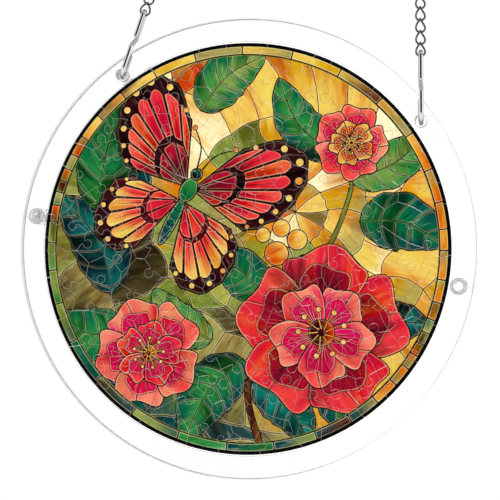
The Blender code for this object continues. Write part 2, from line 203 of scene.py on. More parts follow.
def mesh_of(name, points, faces, *finishes, smooth=True, sharp=35):
    mesh = bpy.data.meshes.new(name)
    mesh.from_pydata([tuple(p) for p in points], [], [tuple(int(i) for i in f) for f in faces])
    for finish in finishes:
        mesh.materials.append(finish)
    mesh.validate()
    if smooth:
        mesh.shade_smooth()
        mesh.set_sharp_from_angle(angle=math.radians(sharp))
    return mesh


def joined(*parts):
    """Several (points, faces) as one."""
    points, faces = [], []
    for some, round_them in parts:
        faces += [[i + len(points) for i in face] for face in round_them]
        points += list(some)
    return points, faces


def grid_faces(rows, columns, closed_rows=False):
    """Quads between rows of points that close on themselves."""
    faces = []
    for r in range(rows if closed_rows else rows - 1):
        for c in range(columns):
            low, high = r * columns, (r + 1) % rows * columns
            after = (c + 1) % columns
            faces.append((low + c, low + after, high + after, high + c))
    return faces


def turned(rings, sides):
    """Turns rings of (radius, y) round the Y axis. Each may be a function of the angle."""
    points = []
    for radius, y in rings:
        for a in steps_round(sides):
            r = radius(a) if callable(radius) else radius
            lift = y(a) if callable(y) else y
            points.append(Vector((r * math.cos(a), lift, r * math.sin(a))))
    return points, grid_faces(len(rings), sides)


def end_faces(count, sides):
    """Faces that fill the first and the last ring of a form with count points."""
    return [tuple(range(sides))[::-1], tuple(range(count - sides, count))]


def capped(rings, sides):
    """A turned form with its first and last rings filled."""
    points, faces = turned(rings, sides)
    return points, faces + end_faces(len(points), sides)


def catmull(points, steps, closed=False):
    """A smooth line through points, steps to each stretch. An open line keeps its last point."""
    count = len(points)
    made = []
    for i in range(count if closed else count - 1):
        if closed:
            p = [points[(i + k) % count] for k in (-1, 0, 1, 2)]
        else:
            p = [points[max(0, i - 1)], points[i], points[i + 1], points[min(count - 1, i + 2)]]
        slope_in, slope_out = (p[2] - p[0]) / 2, (p[3] - p[1]) / 2
        for s in range(steps):
            t = s / steps
            made.append(
                p[1] * (2 * t**3 - 3 * t**2 + 1)
                + slope_in * (t**3 - 2 * t**2 + t)
                + p[2] * (3 * t**2 - 2 * t**3)
                + slope_out * (t**3 - t**2)
            )
    if not closed:
        made.append(points[-1])
    return made


def wire(path, radius, sides, closed=False, side_hint=(0, 0, 1)):
    """A round wire along a path, with domed ends where it is open."""
    path = [Vector(p) for p in path]
    count = len(path)
    tangents = []
    for i in range(count):
        if closed:
            along = path[(i + 1) % count] - path[i - 1]
        else:
            along = path[min(i + 1, count - 1)] - path[max(i - 1, 0)]
        tangents.append(along.normalized())
    side = tangents[0].cross(Vector(side_hint))
    if side.length < 0.1:
        side = tangents[0].cross(Vector((1, 0, 0)))
    frames = []
    for i, along in enumerate(tangents):
        if i:
            side = tangents[i - 1].rotation_difference(along) @ side
        side = (side - side.dot(along) * along).normalized()
        frames.append(side)
    twist = 0.0
    if closed:
        end = tangents[-1].rotation_difference(tangents[0]) @ frames[-1]
        twist = math.atan2(end.cross(frames[0]).dot(tangents[0]), end.dot(frames[0]))
    rows = []
    for i, (point, along, side) in enumerate(zip(path, tangents, frames)):
        rows.append((point, along, side, radius, twist * i / count))
    if not closed:
        dome = [(math.sin(a), math.cos(a)) for a in (0.2, 0.55, 0.9, 1.25)]
        start, end = rows[0], rows[-1]
        rows = (
            [(start[0] - start[1] * radius * c, start[1], start[2], radius * s, 0) for s, c in dome]
            + rows
            + [(end[0] + end[1] * radius * c, end[1], end[2], radius * s, 0) for s, c in dome[::-1]]
        )
    points = []
    for point, along, side, thick, turn in rows:
        up = along.cross(side)
        for k in range(sides):
            a = math.tau * k / sides + turn
            points.append(point + thick * (math.cos(a) * side + math.sin(a) * up))
    faces = grid_faces(len(rows), sides, closed)
    return points, faces if closed else faces + end_faces(len(points), sides)


def placed(part, matrix):
    return [matrix @ Vector(p) for p in part[0]], part[1]


def over_node(points, node):
    """Points round the Y axis, moved to the middle of the node that they stand for."""
    middle = box_middle(node)
    return [p + Vector((middle.x, 0, middle.z)) for p in points]


def steps_round(count):
    """The angles of count even steps round a circle."""
    return [math.tau * i / count for i in range(count)]


def circle(radius, count, centre=(0.0, 0.0)):
    """Points round a circle, counter-clockwise, as vectors of x and z."""
    x, z = centre
    return [Vector((x + radius * math.cos(a), z + radius * math.sin(a))) for a in steps_round(count)]


def moved_in(outline, distance):
    """A counter-clockwise outline moved inwards by distance, or outwards where it is negative."""
    made = []
    for i, point in enumerate(outline):
        before = (point - outline[i - 1]).normalized()
        after = (outline[(i + 1) % len(outline)] - point).normalized()
        inward = Vector((-before.y - after.y, before.x + after.x))
        if inward.length < 1e-6:
            inward = Vector((-before.y, before.x))
        inward.normalize()
        slope = max(0.45, inward.dot(Vector((-before.y, before.x))))
        made.append(point + inward * distance / slope)
    return made


def area_of(outline):
    return sum(a.cross(b) for a, b in zip(outline, outline[1:] + outline[:1])) / 2


def counter_clockwise(outline):
    return outline if area_of(outline) > 0 else outline[::-1]


def topmost_shape(spots, outlines):
    """For each spot, the last of the outlines that it lies in, or -1."""
    found = np.full(len(spots), -1)
    order = np.argsort(spots[:, 0])
    sorted_x = spots[order, 0]
    for number, outline in enumerate(outlines):
        corners = np.array([p[:] for p in outline])
        low, high = corners.min(0), corners.max(0)
        near = order[np.searchsorted(sorted_x, low[0]) : np.searchsorted(sorted_x, high[0])]
        near = near[(spots[near, 1] >= low[1]) & (spots[near, 1] <= high[1])]
        x, y = spots[near, 0, None], spots[near, 1, None]
        ax, ay = corners[:, 0], corners[:, 1]
        bx, by = np.roll(ax, -1), np.roll(ay, -1)
        crosses = (ay > y) != (by > y)
        rise = np.where(by == ay, 1.0, by - ay)
        right = x < ax + (y - ay) * (bx - ax) / rise
        found[near[(crosses & right).sum(1) % 2 == 1]] = number
    return found


FLAT, CLEAR, FROSTED = 0, 1, 2
WIDE_ROUNDING = 0.2 * MM


def rounded_levels(front, back, front_round, back_round):
    """Steps (inset, y) from the front of a plate's wall to its back, round at both edges."""
    bends = [math.radians(a) for a in (0, 22.5, 45, 67.5, 90)]
    quarter = [(1 - math.sin(a), 1 - math.cos(a)) for a in bends]
    near = [(front_round * inset, front + front_round * depth) for inset, depth in quarter]
    far = [(back_round * inset, back - back_round * depth) for inset, depth in quarter]
    return near + far[::-1]


def slab(rim, holes, front, back, roundings, frosted_from):
    """A flat plate in the XZ plane with rounded edges, as points, faces and a mark for each face.

    roundings are its radii at the front and at the back. The mark is FLAT on the two faces, and
    CLEAR or FROSTED on the walls: frosted are the holes from number frosted_from on, and the wide
    roundings of the rim."""
    levels = rounded_levels(front, back, *roundings)
    top = len(levels) - 1
    points, faces, marks = [], [], []
    flat, lines, edges, outlines = [], [], [], []
    for number, outline in enumerate([rim, *holes]):
        way = -1 if number else 1
        first, count = len(points), len(outline)
        for inset, y in levels:
            points += [Vector((p.x, y, p.y)) for p in moved_in(outline, way * inset)]
        quads = grid_faces(len(levels), count)
        quads = quads if number else [quad[::-1] for quad in quads]
        faces += [[first + i for i in quad] for quad in quads]
        for strip in range(top):
            rounded = strip != top // 2 and roundings[strip > top // 2] > WIDE_ROUNDING
            frosted = number >= frosted_from if number else rounded
            marks += [FROSTED if frosted else CLEAR] * count
        outlines.append(moved_in(outline, way * max(roundings)))
        lines += [(len(flat) + i, len(flat) + (i + 1) % count) for i in range(count)]
        edges += [(first + i, first + top * count + i) for i in range(count)]
        flat += outlines[-1]
    made = delaunay_2d_cdt(flat, lines, [], 0, 1e-9)
    middles = np.array([sum((made[0][v] for v in t), Vector((0, 0))) / 3 for t in made[2]])
    for triangle, owner in zip(made[2], topmost_shape(middles, outlines)):
        if owner:
            continue
        corners = [made[3][v][0] for v in triangle]
        if area_of([flat[c] for c in corners]) < 0:
            corners.reverse()
        faces.append([edges[c][0] for c in corners])
        faces.append([edges[c][1] for c in corners[::-1]])
        marks += [FLAT, FLAT]
    return points, faces, marks


# Finishes ----------------------------------------------------------------------


class Finish:
    """A material or a world, and the nodes that are added to it."""

    def __init__(self, owner):
        """owner is the name of a new material, or a world."""
        in_world = isinstance(owner, bpy.types.World)
        self.owner = owner if in_world else bpy.data.materials.new(owner)
        self.owner.use_nodes = True
        self.tree = self.owner.node_tree
        self.tree.nodes.clear()
        self.output = self.add("OutputWorld" if in_world else "OutputMaterial")

    def add(self, kind, inputs=None, **settings):
        """Adds a node. An input's value is plain, or a socket of another node."""
        node = self.tree.nodes.new("ShaderNode" + kind)
        for key, value in settings.items():
            setattr(node, key, value)
        for key, value in (inputs or {}).items():
            if isinstance(value, bpy.types.NodeSocket):
                self.tree.links.new(value, node.inputs[key])
            else:
                node.inputs[key].default_value = value
        return node

    def place(self):
        """The point on the piece, in metres."""
        return self.add("TexCoord").outputs["Object"]

    def noise(self, scale, place=None, detail=3.0, roughness=0.5):
        inputs = {"Scale": scale, "Detail": detail, "Roughness": roughness}
        return self.add("TexNoise", {"Vector": place or self.place(), **inputs}).outputs["Fac"]

    def streaks(self, scale, stretch, detail):
        """Noise drawn out along the axis whose stretch is small."""
        place = self.add("Mapping", {"Vector": self.place(), "Scale": stretch}).outputs[0]
        return self.noise(scale, place, detail)

    def maths(self, operation, *values):
        return self.add("Math", dict(enumerate(values)), operation=operation).outputs[0]

    def times(self, first, second):
        return self.maths("MULTIPLY", first, second)

    def plus(self, first, second):
        return self.maths("ADD", first, second)

    def ranged(self, value, low, high, to_low, to_high, smooth=False):
        """The value's range from low to high, drawn over the range from to_low to to_high."""
        kind = "SMOOTHSTEP" if smooth else "LINEAR"
        ends = {"From Min": low, "From Max": high, "To Min": to_low, "To Max": to_high}
        return self.add("MapRange", {"Value": value, **ends}, interpolation_type=kind).outputs["Result"]

    def rising(self, value, low, high, most):
        return self.ranged(value, low, high, 0.0, most, smooth=True)

    def falling(self, value, low, high, most):
        return self.ranged(value, low, high, most, 0.0, smooth=True)

    def mixed(self, share, first, second, kind="MIX"):
        """A colour: the first, mixed with the second by share."""
        node = self.add("Mix", data_type="RGBA", blend_type=kind)
        for socket, value in ((node.inputs[0], share), (node.inputs[6], first), (node.inputs[7], second)):
            if isinstance(value, bpy.types.NodeSocket):
                self.tree.links.new(value, socket)
            elif socket.type == "RGBA":
                socket.default_value = (*value[:3], 1)
            else:
                socket.default_value = value
        return node.outputs[2]

    def either(self, share, first, second):
        """A number: the first, or the second where share is 1."""
        node = self.add("Mix", {0: share, 2: first, 3: second}, data_type="FLOAT")
        return node.outputs[0]

    def bump(self, height, distance, strength):
        inputs = {"Height": height, "Distance": distance, "Strength": strength}
        return self.add("Bump", inputs).outputs["Normal"]

    def shine(self, base_color, **sockets):
        """The Principled shader, with its inputs named in lower case and underscores."""
        if not isinstance(base_color, bpy.types.NodeSocket):
            base_color = (*base_color[:3], 1)
        inputs = {"Base Color": base_color}
        for key, value in sockets.items():
            inputs[key.replace("_", " ").title().replace("Ior", "IOR")] = value
        return self.add("BsdfPrincipled", inputs).outputs[0]

    def ends_in(self, shader):
        self.tree.links.new(shader, self.output.inputs["Surface"])
        return self.owner


ACRYLIC_IOR = 1.49
NYLON_IOR = 1.53
WIRE_ROUGHNESS = 0.05
CHAIN_ROUGHNESS = 0.1
# Scales for the marks of wiping, of drawing wire and of cutting, which run along the smallest one.
UP_THE_DISC = (1, 1, 0.12)
ALONG_THE_WIRE = (1, 1, 0.08)
THROUGH_THE_SHEET = (1, 0.05, 1)


def lets_lamps_through(finish, shader, tint):
    """Rays from the lamps pass straight through, so that clear pieces cast no dark shadow."""
    open_way = finish.add("BsdfTransparent", {"Color": (*tint[:3], 1)}).outputs[0]
    path = finish.add("LightPath").outputs["Is Shadow Ray"]
    return finish.add("MixShader", {0: path, 1: shader, 2: open_way}).outputs[0]


def clear_acrylic(name, tint):
    """Cast acrylic: clear, with a faint haze of wiping marks."""
    finish = Finish(name)
    marks = finish.streaks(900, UP_THE_DISC, 4)
    glass = finish.shine(
        base_color=tint,
        roughness=finish.ranged(marks, 0.56, 0.78, 0.0, 0.05),
        ior=ACRYLIC_IOR,
        transmission_weight=1.0,
        normal=finish.bump(finish.noise(35, detail=1), 0.00002, 0.25),
    )
    return finish.ends_in(lets_lamps_through(finish, glass, (0.94, 0.95, 0.95)))


def clear_nylon(tint):
    """Moulded translucent nylon, a little cloudy."""
    finish = Finish("clear_nylon")
    cloud = finish.noise(700, detail=4)
    glass = finish.shine(
        base_color=finish.mixed(cloud, tint, [0.96 * c for c in tint]),
        roughness=finish.ranged(cloud, 0.3, 0.7, 0.03, 0.08),
        ior=NYLON_IOR,
        transmission_weight=0.97,
        normal=finish.bump(finish.noise(4200, detail=2), 0.00004, 0.3),
    )
    return finish.ends_in(lets_lamps_through(finish, glass, (0.9, 0.9, 0.9)))


def cut_edge(tint):
    """The bores of the clear discs and their rounded outer edges: frosted a little by the cutter."""
    finish = Finish("cut_edge")
    marks = finish.streaks(3500, THROUGH_THE_SHEET, 3)
    frosted = finish.shine(
        base_color=finish.mixed(marks, tint, [0.8 * c for c in tint]),
        roughness=finish.ranged(marks, 0.3, 0.7, 0.22, 0.4),
        ior=ACRYLIC_IOR,
        transmission_weight=0.6,
        normal=finish.bump(marks, 0.00002, 0.4),
    )
    return finish.ends_in(lets_lamps_through(finish, frosted, (0.9, 0.9, 0.92)))


def plated_steel(name, tint, rough):
    """Bright plated wire with fine drawing marks and tiny scuffs."""
    finish = Finish(name)
    lines = finish.streaks(5200, ALONG_THE_WIRE, 3)
    scuffs = finish.noise(900, detail=5, roughness=0.7)
    worn = finish.rising(scuffs, 0.55, 0.75, 1.0)
    drawn_rough = finish.ranged(lines, 0.3, 0.7, rough, 1.8 * rough)
    metal = finish.shine(
        base_color=finish.mixed(worn, tint, [0.74 * c for c in tint]),
        metallic=1.0,
        roughness=finish.plus(drawn_rough, finish.times(worn, 0.1)),
        normal=finish.bump(lines, 0.00001, 0.4),
    )
    return finish.ends_in(metal)


def pane_places(finish):
    """How far a point lies along its pane, as a share, and its place in a grain drawn out that way."""
    attribute = finish.add("Attribute", attribute_name="pane_run").outputs["Vector"]
    run_x, run_z, start = finish.add("SeparateXYZ", {0: attribute}).outputs
    x, _, z = finish.add("SeparateXYZ", {0: finish.place()}).outputs
    along = finish.plus(finish.times(x, run_x), finish.times(z, run_z))
    across = finish.maths("SUBTRACT", finish.times(z, run_x), finish.times(x, run_z))
    steep = finish.plus(finish.times(run_x, run_x), finish.times(run_z, run_z))
    steep = finish.maths("MAXIMUM", finish.maths("SQRT", steep), 1.0)
    drawn_out = finish.times(finish.maths("DIVIDE", along, steep), 0.22)
    metres_across = finish.maths("DIVIDE", across, steep)
    own_layer = finish.times(start, 0.013)
    grain = finish.add("CombineXYZ", {0: drawn_out, 1: metres_across, 2: own_layer}).outputs[0]
    return finish.maths("SUBTRACT", along, start), grain


def printed_glass():
    """Ink printed as streaky stained glass. Each pane holds its two tones and the run of its streaks."""
    finish = Finish("printed_panes")
    tone_a = finish.add("Attribute", attribute_name="tone_a").outputs["Color"]
    tone_b = finish.add("Attribute", attribute_name="tone_b").outputs["Color"]
    share, grain = pane_places(finish)
    streaks = finish.noise(620, grain, 4, 0.6)
    clouds = finish.noise(150, grain, 3, 0.55)
    veins = finish.noise(1500, grain, 2, 0.5)
    patches = finish.noise(85, grain, 4, 0.6)
    wavy = finish.plus(share, finish.ranged(clouds, 0.25, 0.75, -0.45, 0.45))
    two_inks = finish.mixed(finish.rising(wavy, 0.08, 0.92, 1.0), tone_a, tone_b)
    drift = finish.ranged(patches, 0.3, 0.7, 0.477, 0.523)
    drifting = {"Hue": drift, "Saturation": 1.06, "Color": two_inks}
    drifted = finish.add("HueSaturation", drifting).outputs[0]
    light = finish.mixed(finish.rising(streaks, 0.54, 0.74, 0.24), drifted, (1.0, 0.88, 0.6))
    rich = finish.mixed(0.35, light, drifted, "SCREEN")
    rich = finish.mixed(finish.rising(streaks, 0.5, 0.75, 0.8), drifted, rich)
    deep = finish.mixed(1.0, rich, rich, "MULTIPLY")
    streak_shade = finish.falling(streaks, 0.3, 0.47, 0.6)
    vein_shade = finish.falling(veins, 0.28, 0.4, 0.5)
    patch_shade = finish.falling(patches, 0.36, 0.54, 0.85)
    shade = finish.maths("MAXIMUM", streak_shade, vein_shade)
    shade = finish.maths("MAXIMUM", shade, patch_shade)
    wet = finish.shine(
        base_color=finish.mixed(shade, rich, deep),
        specular_ior_level=0.08,
        roughness=finish.ranged(veins, 0.2, 0.8, 0.16, 0.34),
        normal=finish.bump(streaks, 0.00003, 0.4),
    )
    return finish.ends_in(wet)


def printed_lead(name, tint):
    """Dark printed line, a little uneven in its black."""
    finish = Finish(name)
    patches = finish.noise(800, detail=3)
    uneven = finish.ranged(patches, 0.4, 0.75, 0.0, 1.0)
    dark = finish.shine(
        base_color=finish.mixed(uneven, tint, [1.9 * c + 0.002 for c in tint]),
        specular_ior_level=0.05,
        roughness=finish.ranged(patches, 0.3, 0.7, 0.22, 0.4),
    )
    return finish.ends_in(dark)


def cut_acrylic(name, glow):
    """The pale walls of the jigsaw's pieces, with cutting marks and a painted glow: emission that lights
    them without a lamp.
    """
    finish = Finish(name)
    marks = finish.streaks(6000, THROUGH_THE_SHEET, 2)
    wall = finish.shine(
        base_color=finish.mixed(marks, (0.62, 0.6, 0.55), (0.86, 0.85, 0.8)),
        roughness=finish.ranged(marks, 0.3, 0.7, 0.35, 0.55),
        specular_ior_level=0.2,
        # Painted glow: emission lights these walls, weakly on the cuts and strongly on the rim's wall.
        emission_color=(1.0, 0.97, 0.92, 1.0),
        emission_strength=glow,
        normal=finish.bump(marks, 0.00003, 0.5),
    )
    return finish.ends_in(wall)


# The jigsaw's cuts, in millimetres ---------------------------------------------


def vary(i, j):
    """A repeatable number from -1 to 1 that looks random."""
    return math.sin(12.9 * i + 78.2 * j + 0.7)


def sunflower(count, radius):
    """Points spread evenly over a disc, each a golden angle on from the last."""
    turn = math.pi * (3 - math.sqrt(5))
    reach = [radius * math.sqrt((i + 0.5) / count) for i in range(count)]
    return [r * Vector((math.cos(i * turn), math.sin(i * turn))) for i, r in enumerate(reach)]


def nearest(points, place):
    """The number of the point nearest to place."""
    return min(range(len(points)), key=lambda i: (points[i] - place).length)


def polar(degrees, reach):
    angle = math.radians(degrees)
    return Vector((reach * math.cos(angle), reach * math.sin(angle)))


def circumcentre(a, b, c):
    ab, ac = b - a, c - a
    twice = 2 * ab.cross(ac)
    normal_ab, normal_ac = Vector((-ab.y, ab.x)), Vector((-ac.y, ac.x))
    return a + (ac.length_squared * normal_ab - ab.length_squared * normal_ac) / twice


def gap_to_line(point, a, b):
    along = b - a
    t = max(0.0, min(1.0, (point - a).dot(along) / along.length_squared))
    return (point - a - t * along).length


class Jigsaw:
    """The cuts of a round jigsaw whose pieces follow a sunflower's seeds."""

    seeds_reach = 0.965  # how far out the seeds lie, as a share of the radius
    sway = 0.17  # of the seeds, as a share of their spacing
    shortest_cut = 2.4
    shortest_knobbed_cut = 5.0
    knob_radius = 1.9
    knob_variety = 0.16
    knob_reach = 1.5  # from the cut to the middle of the knob's head, in its radii
    knob_room = 0.8

    def __init__(self, radius, count):
        self.radius = radius
        self.spacing = radius * math.sqrt(math.pi / count)
        sway = self.sway * self.spacing
        seeds = sunflower(count, self.seeds_reach * radius)
        self.seeds = [s + sway * Vector((vary(i, 1), vary(i, 2))) for i, s in enumerate(seeds)]
        self.find_corners()
        self.owners = {}
        for piece, ring in enumerate(self.pieces):
            for i, corner in enumerate(ring):
                cut = tuple(sorted((ring[i - 1], corner)))
                self.owners.setdefault(cut, []).append(piece)
        middles = sunflower(len(PUZZLE_NODES), radius)
        self.group_of = [nearest(middles, seed) for seed in self.seeds]
        self.place_knobs()

    def find_corners(self):
        """The corners where cuts meet, and those round each piece in order."""
        near_rim = [s for s in self.seeds if s.length > self.radius - 2 * self.spacing]
        mirrored = [s * (2 * self.radius / s.length - 1) for s in near_rim]
        made = delaunay_2d_cdt([s * MM for s in self.seeds + mirrored], [], [], 0, 1e-9)
        places, triangles, source = [p / MM for p in made[0]], made[2], made[3]
        points, touching = [], []
        for triangle in triangles:
            inner = [source[v][0] for v in triangle if source[v][0] < len(self.seeds)]
            if not inner:
                continue
            point = circumcentre(*(places[v] for v in triangle))
            if len(inner) < 3:
                point = point.normalized() * self.radius
            points.append(point)
            touching.append(inner)
        same = list(range(len(points)))
        for i, point in enumerate(points):
            for j in range(i):
                if (points[j] - point).length < self.shortest_cut:
                    same[i] = same[j]
                    break
        rings = [set() for _ in self.seeds]
        for i, inner in enumerate(touching):
            for s in inner:
                rings[s].add(same[i])
        self.points = points
        self.pieces = []
        for ring in rings:
            inside = self.middle(ring)
            self.pieces.append(sorted(ring, key=lambda c: math.atan2(*(points[c] - inside).yx)))

    def middle(self, ring):
        return sum((self.points[c] for c in ring), Vector((0, 0))) / len(ring)

    def place_knobs(self):
        """Gives cuts a knob where there is room, the longest first."""
        points, owners = self.points, self.owners
        inner = [cut for cut, both in owners.items() if len(both) == 2]
        inner.sort(key=lambda cut: (points[cut[0]] - points[cut[1]]).length, reverse=True)
        self.knobs, taken = {}, {}
        for cut in inner:
            a, b = points[cut[0]], points[cut[1]]
            if (b - a).length < self.shortest_knobbed_cut:
                continue
            first, second = owners[cut]
            most = 1 if self.group_of[first] != self.group_of[second] else 3
            radius = self.knob_radius * (1 + self.knob_variety * vary(*cut))
            normal = Vector((a.y - b.y, b.x - a.x)).normalized()
            best = None
            for side in (1, -1):
                head = (a + b) / 2 + side * self.knob_reach * radius * normal
                into = min(owners[cut], key=lambda p: (self.middle(self.pieces[p]) - head).length)
                if taken.get(into, 0) >= most:
                    continue
                room = min([self.radius - head.length] + self.gaps_round(head, cut))
                if room > radius + self.knob_room and (best is None or room > best[0]):
                    best = (room, side, head, into)
            if best:
                self.knobs[cut] = (best[1], best[2], radius)
                taken[best[3]] = taken.get(best[3], 0) + 1

    def gaps_round(self, head, cut):
        """How far a knob's head is from the other cuts and knobs near it."""
        gaps = [
            gap_to_line(head, self.points[other[0]], self.points[other[1]])
            for other in self.owners
            if other != cut and (self.points[other[0]] - head).length < 3 * self.spacing
        ]
        return gaps + [(head - h).length - r for _, h, r in self.knobs.values()]

    def cut_line(self, cut):
        """A smooth cut from its lower-numbered corner to the other, without the last point."""
        a, b = self.points[cut[0]], self.points[cut[1]]
        along = (b - a).normalized()
        out = Vector((-along.y, along.x))
        if cut not in self.knobs:
            bow = 0.05 * (b - a).length * vary(*cut) * out
            return catmull([a, (a + b) / 2 + bow, b], 3)[:-1]
        side, head, radius = self.knobs[cut]
        round_head = [polar(degrees, 1) for degrees in (192, 128, 52, -12)]
        shape = [(-0.5, -1.1), *round_head, (0.5, -1.1)]
        knob = [head + radius * (u * along + side * v * out) for u, v in shape]
        return catmull([a, *knob, b], 5)[:-1]

    def rim_line(self, start, end):
        """The arc of the rim between two corners, without the last point."""
        first = math.atan2(start.y, start.x)
        turn = (math.atan2(end.y, end.x) - first + math.pi) % math.tau - math.pi
        steps = max(1, round(abs(turn) / math.radians(1.5)))
        angles = [first + turn * i / steps for i in range(steps)]
        return [self.radius * Vector((math.cos(a), math.sin(a))) for a in angles]

    def outline(self, piece):
        """The outline of one piece, counter-clockwise."""
        ring = self.pieces[piece]
        line = []
        for i, corner in enumerate(ring):
            before = ring[i - 1]
            cut = tuple(sorted((before, corner)))
            if len(self.owners[cut]) == 1:
                line += self.rim_line(self.points[before], self.points[corner])
            elif cut[0] == before:
                line += self.cut_line(cut)
            else:
                line += [self.points[before]] + self.cut_line(cut)[1:][::-1]
        return line


# The picture, in millimetres from its middle -----------------------------------


def blend(first, second, share):
    return tuple(a + (b - a) * share for a, b in zip(first, second))


PALE_GLASS = (1.0, 0.86, 0.55)  # the tone that a pane's edge is drawn towards


class Picture:
    """Painted shapes, each over those before it. A shape's tones run from a to b along its streaks."""

    pale_edge = 0.38
    glass, lead_line, black_ink = range(3)  # finishes of a shape

    def __init__(self, lead_width):
        self.lead = lead_width
        self.outlines, self.tones, self.runs, self.finishes = [], [], [], []

    def paint(self, outline, tone_a, tone_b, start, end, finish=glass):
        """Adds one shape. Its first tone lies at start and its second at end."""
        along = end - start
        along = along / max(along.length_squared, 1e-6)
        self.outlines.append(counter_clockwise(list(outline)))
        self.tones.append((tone_a, tone_b))
        self.runs.append((along.x, along.y, along.dot(start)))
        self.finishes.append(finish)

    def line(self, outline):
        """A shape all of lead."""
        self.paint(outline, (0, 0, 0), (0, 0, 0), Vector((0, 0)), Vector((1, 0)), self.lead_line)

    def pane(self, outline, tone_a, tone_b, start, end, lead=1.0, glow=0.3):
        """A pane of glass with lead round it and a lighter edge inside the lead."""
        outline = counter_clockwise(list(outline))
        half = self.lead * lead / 2
        self.line(moved_in(outline, -half))
        pale = [blend(tone, PALE_GLASS, glow) for tone in (tone_a, tone_b)]
        self.paint(moved_in(outline, half), *pale, start, end)
        self.paint(moved_in(outline, half + self.pale_edge), tone_a, tone_b, start, end)

    def bead(self, middle, radius, tones, end, start=(0, 0), sides=12, lead=0.8):
        """A round pane. Its tones run from start to end, which are measured from its middle."""
        outline = [middle + p for p in circle(radius, sides)]
        self.pane(outline, *tones, middle + Vector(start), middle + Vector(end), lead=lead)

    def stroke(self, path, start_width, end_width, tones=None):
        """A line along a path that thins from one width to the other, of lead or of two tones."""
        left, right = [], []
        for i, point in enumerate(path):
            along = path[min(i + 1, len(path) - 1)] - path[max(i - 1, 0)]
            out = Vector((-along.y, along.x)).normalized()
            share = i / (len(path) - 1)
            half = (start_width + (end_width - start_width) * share) / 2
            left.append(point + half * out)
            right.append(point - half * out)
        outline = right + left[::-1]
        if tones:
            self.paint(outline, *tones, path[0], path[-1])
        else:
            self.line(outline)

    def leaded_stroke(self, path, lead_widths, glass_widths, tones):
        """A line of glass between two of lead. Its widths are given at its start and its end."""
        self.stroke(path, *lead_widths)
        self.stroke(path, *glass_widths, tones)


def petal_outline(base, heading, reach, width, ruffle, seed):
    """A round petal that leaves base and ends in a ruffled edge."""
    along, across = polar(heading, 1), polar(heading + 90, 1)
    outline = []
    for a in steps_round(40):
        out = (1 - math.cos(a)) / 2
        wave = 1 + ruffle * out * math.sin(5 * a + 2.1 * seed)
        side = 0.62 * width * math.sin(a) * (0.3 + 0.7 * out)
        outline.append(base + along * reach * out * wave + across * side * wave)
    return outline


def petal_halves(outline):
    """The left and right halves of a petal's outline, each from base to tip."""
    half = len(outline) // 2
    return outline[: half + 1], [outline[0]] + outline[: half - 1 : -1]


def add_petal(picture, inks, base, heading, reach, width, seed, tones):
    """A petal in two halves with a fold between them, veins, and a pale ruffled lip."""
    heart, body, lip = tones
    outline = petal_outline(base, heading, reach, width, 0.07, seed)
    tip = outline[len(outline) // 2]
    picture.pane(outline, heart, lip, base, tip, lead=1.3)
    across = polar(heading + 90, 1)
    fold = catmull([base, (base + tip) / 2 + across * (0.1 * reach * vary(seed, 3)), tip], 8)
    first, second = petal_halves(outline)
    half = first if seed % 2 else second
    picture.pane(half + fold[::-1][1:-1], body, blend(body, lip, 0.7), base, tip, glow=0.45)
    root = base + polar(heading, 0.06 * reach)
    inner = petal_outline(root, heading, 0.72 * reach, 0.62 * width, 0.05, seed + 1)
    picture.pane(inner, heart, blend(heart, body, 0.6), base, tip, lead=0.7, glow=0.35)
    for k in range(-2, 3):
        bends = ((0.5, 0.12), (0.8, 0.5), (1.35, 0.86 - 0.06 * abs(k)))
        vein = [base + polar(heading + swing * 9.5 * k, share * reach) for swing, share in bends]
        path = catmull(vein, 7)
        picture.stroke(path, 0.5, 0.1)
        beside = [p + 0.3 * across for p in path[2:-3]]
        picture.stroke(beside, 0.22, 0.12, (blend(lip, inks.cream, 0.3), lip))


def add_blossom(picture, inks, middle, reach, turn, outer, inner, petals=5):
    """Round petals in two rings about a golden eye with stamens."""
    for k in range(petals):
        heading = turn + 360 * k / petals + 5 * vary(k, 5)
        span = 2.0 * reach * math.sin(math.pi / petals)
        length_out = 0.9 * reach * (1 + 0.08 * vary(k, 7))
        base = middle + polar(heading, 0.1 * reach)
        add_petal(picture, inks, base, heading, length_out, span, k + 1, outer)
    for k in range(petals):
        heading = turn + 360 * (k + 0.5) / petals + 6 * vary(k, 9)
        length_out = 0.62 * reach * (1 + 0.08 * vary(k, 11))
        add_petal(picture, inks, middle, heading, length_out, 0.66 * reach, k + 2, inner)
    eye = (inks.maroon, inks.orange)
    picture.bead(middle, 0.17 * reach, eye, polar(turn, 0.2 * reach), sides=24, lead=1.0)
    for k in range(9):
        heading = turn + 40 * k
        root, knob = middle + polar(heading, 0.05 * reach), middle + polar(heading + 6, 0.3 * reach)
        stamen = catmull([root, (root + knob) / 2 + polar(heading + 90, 0.5), knob], 4)
        picture.leaded_stroke(stamen, (0.75, 0.45), (0.42, 0.25), (inks.honey, inks.amber))
        picture.bead(knob, 0.036 * reach, (inks.honey, inks.orange), polar(heading, 2))


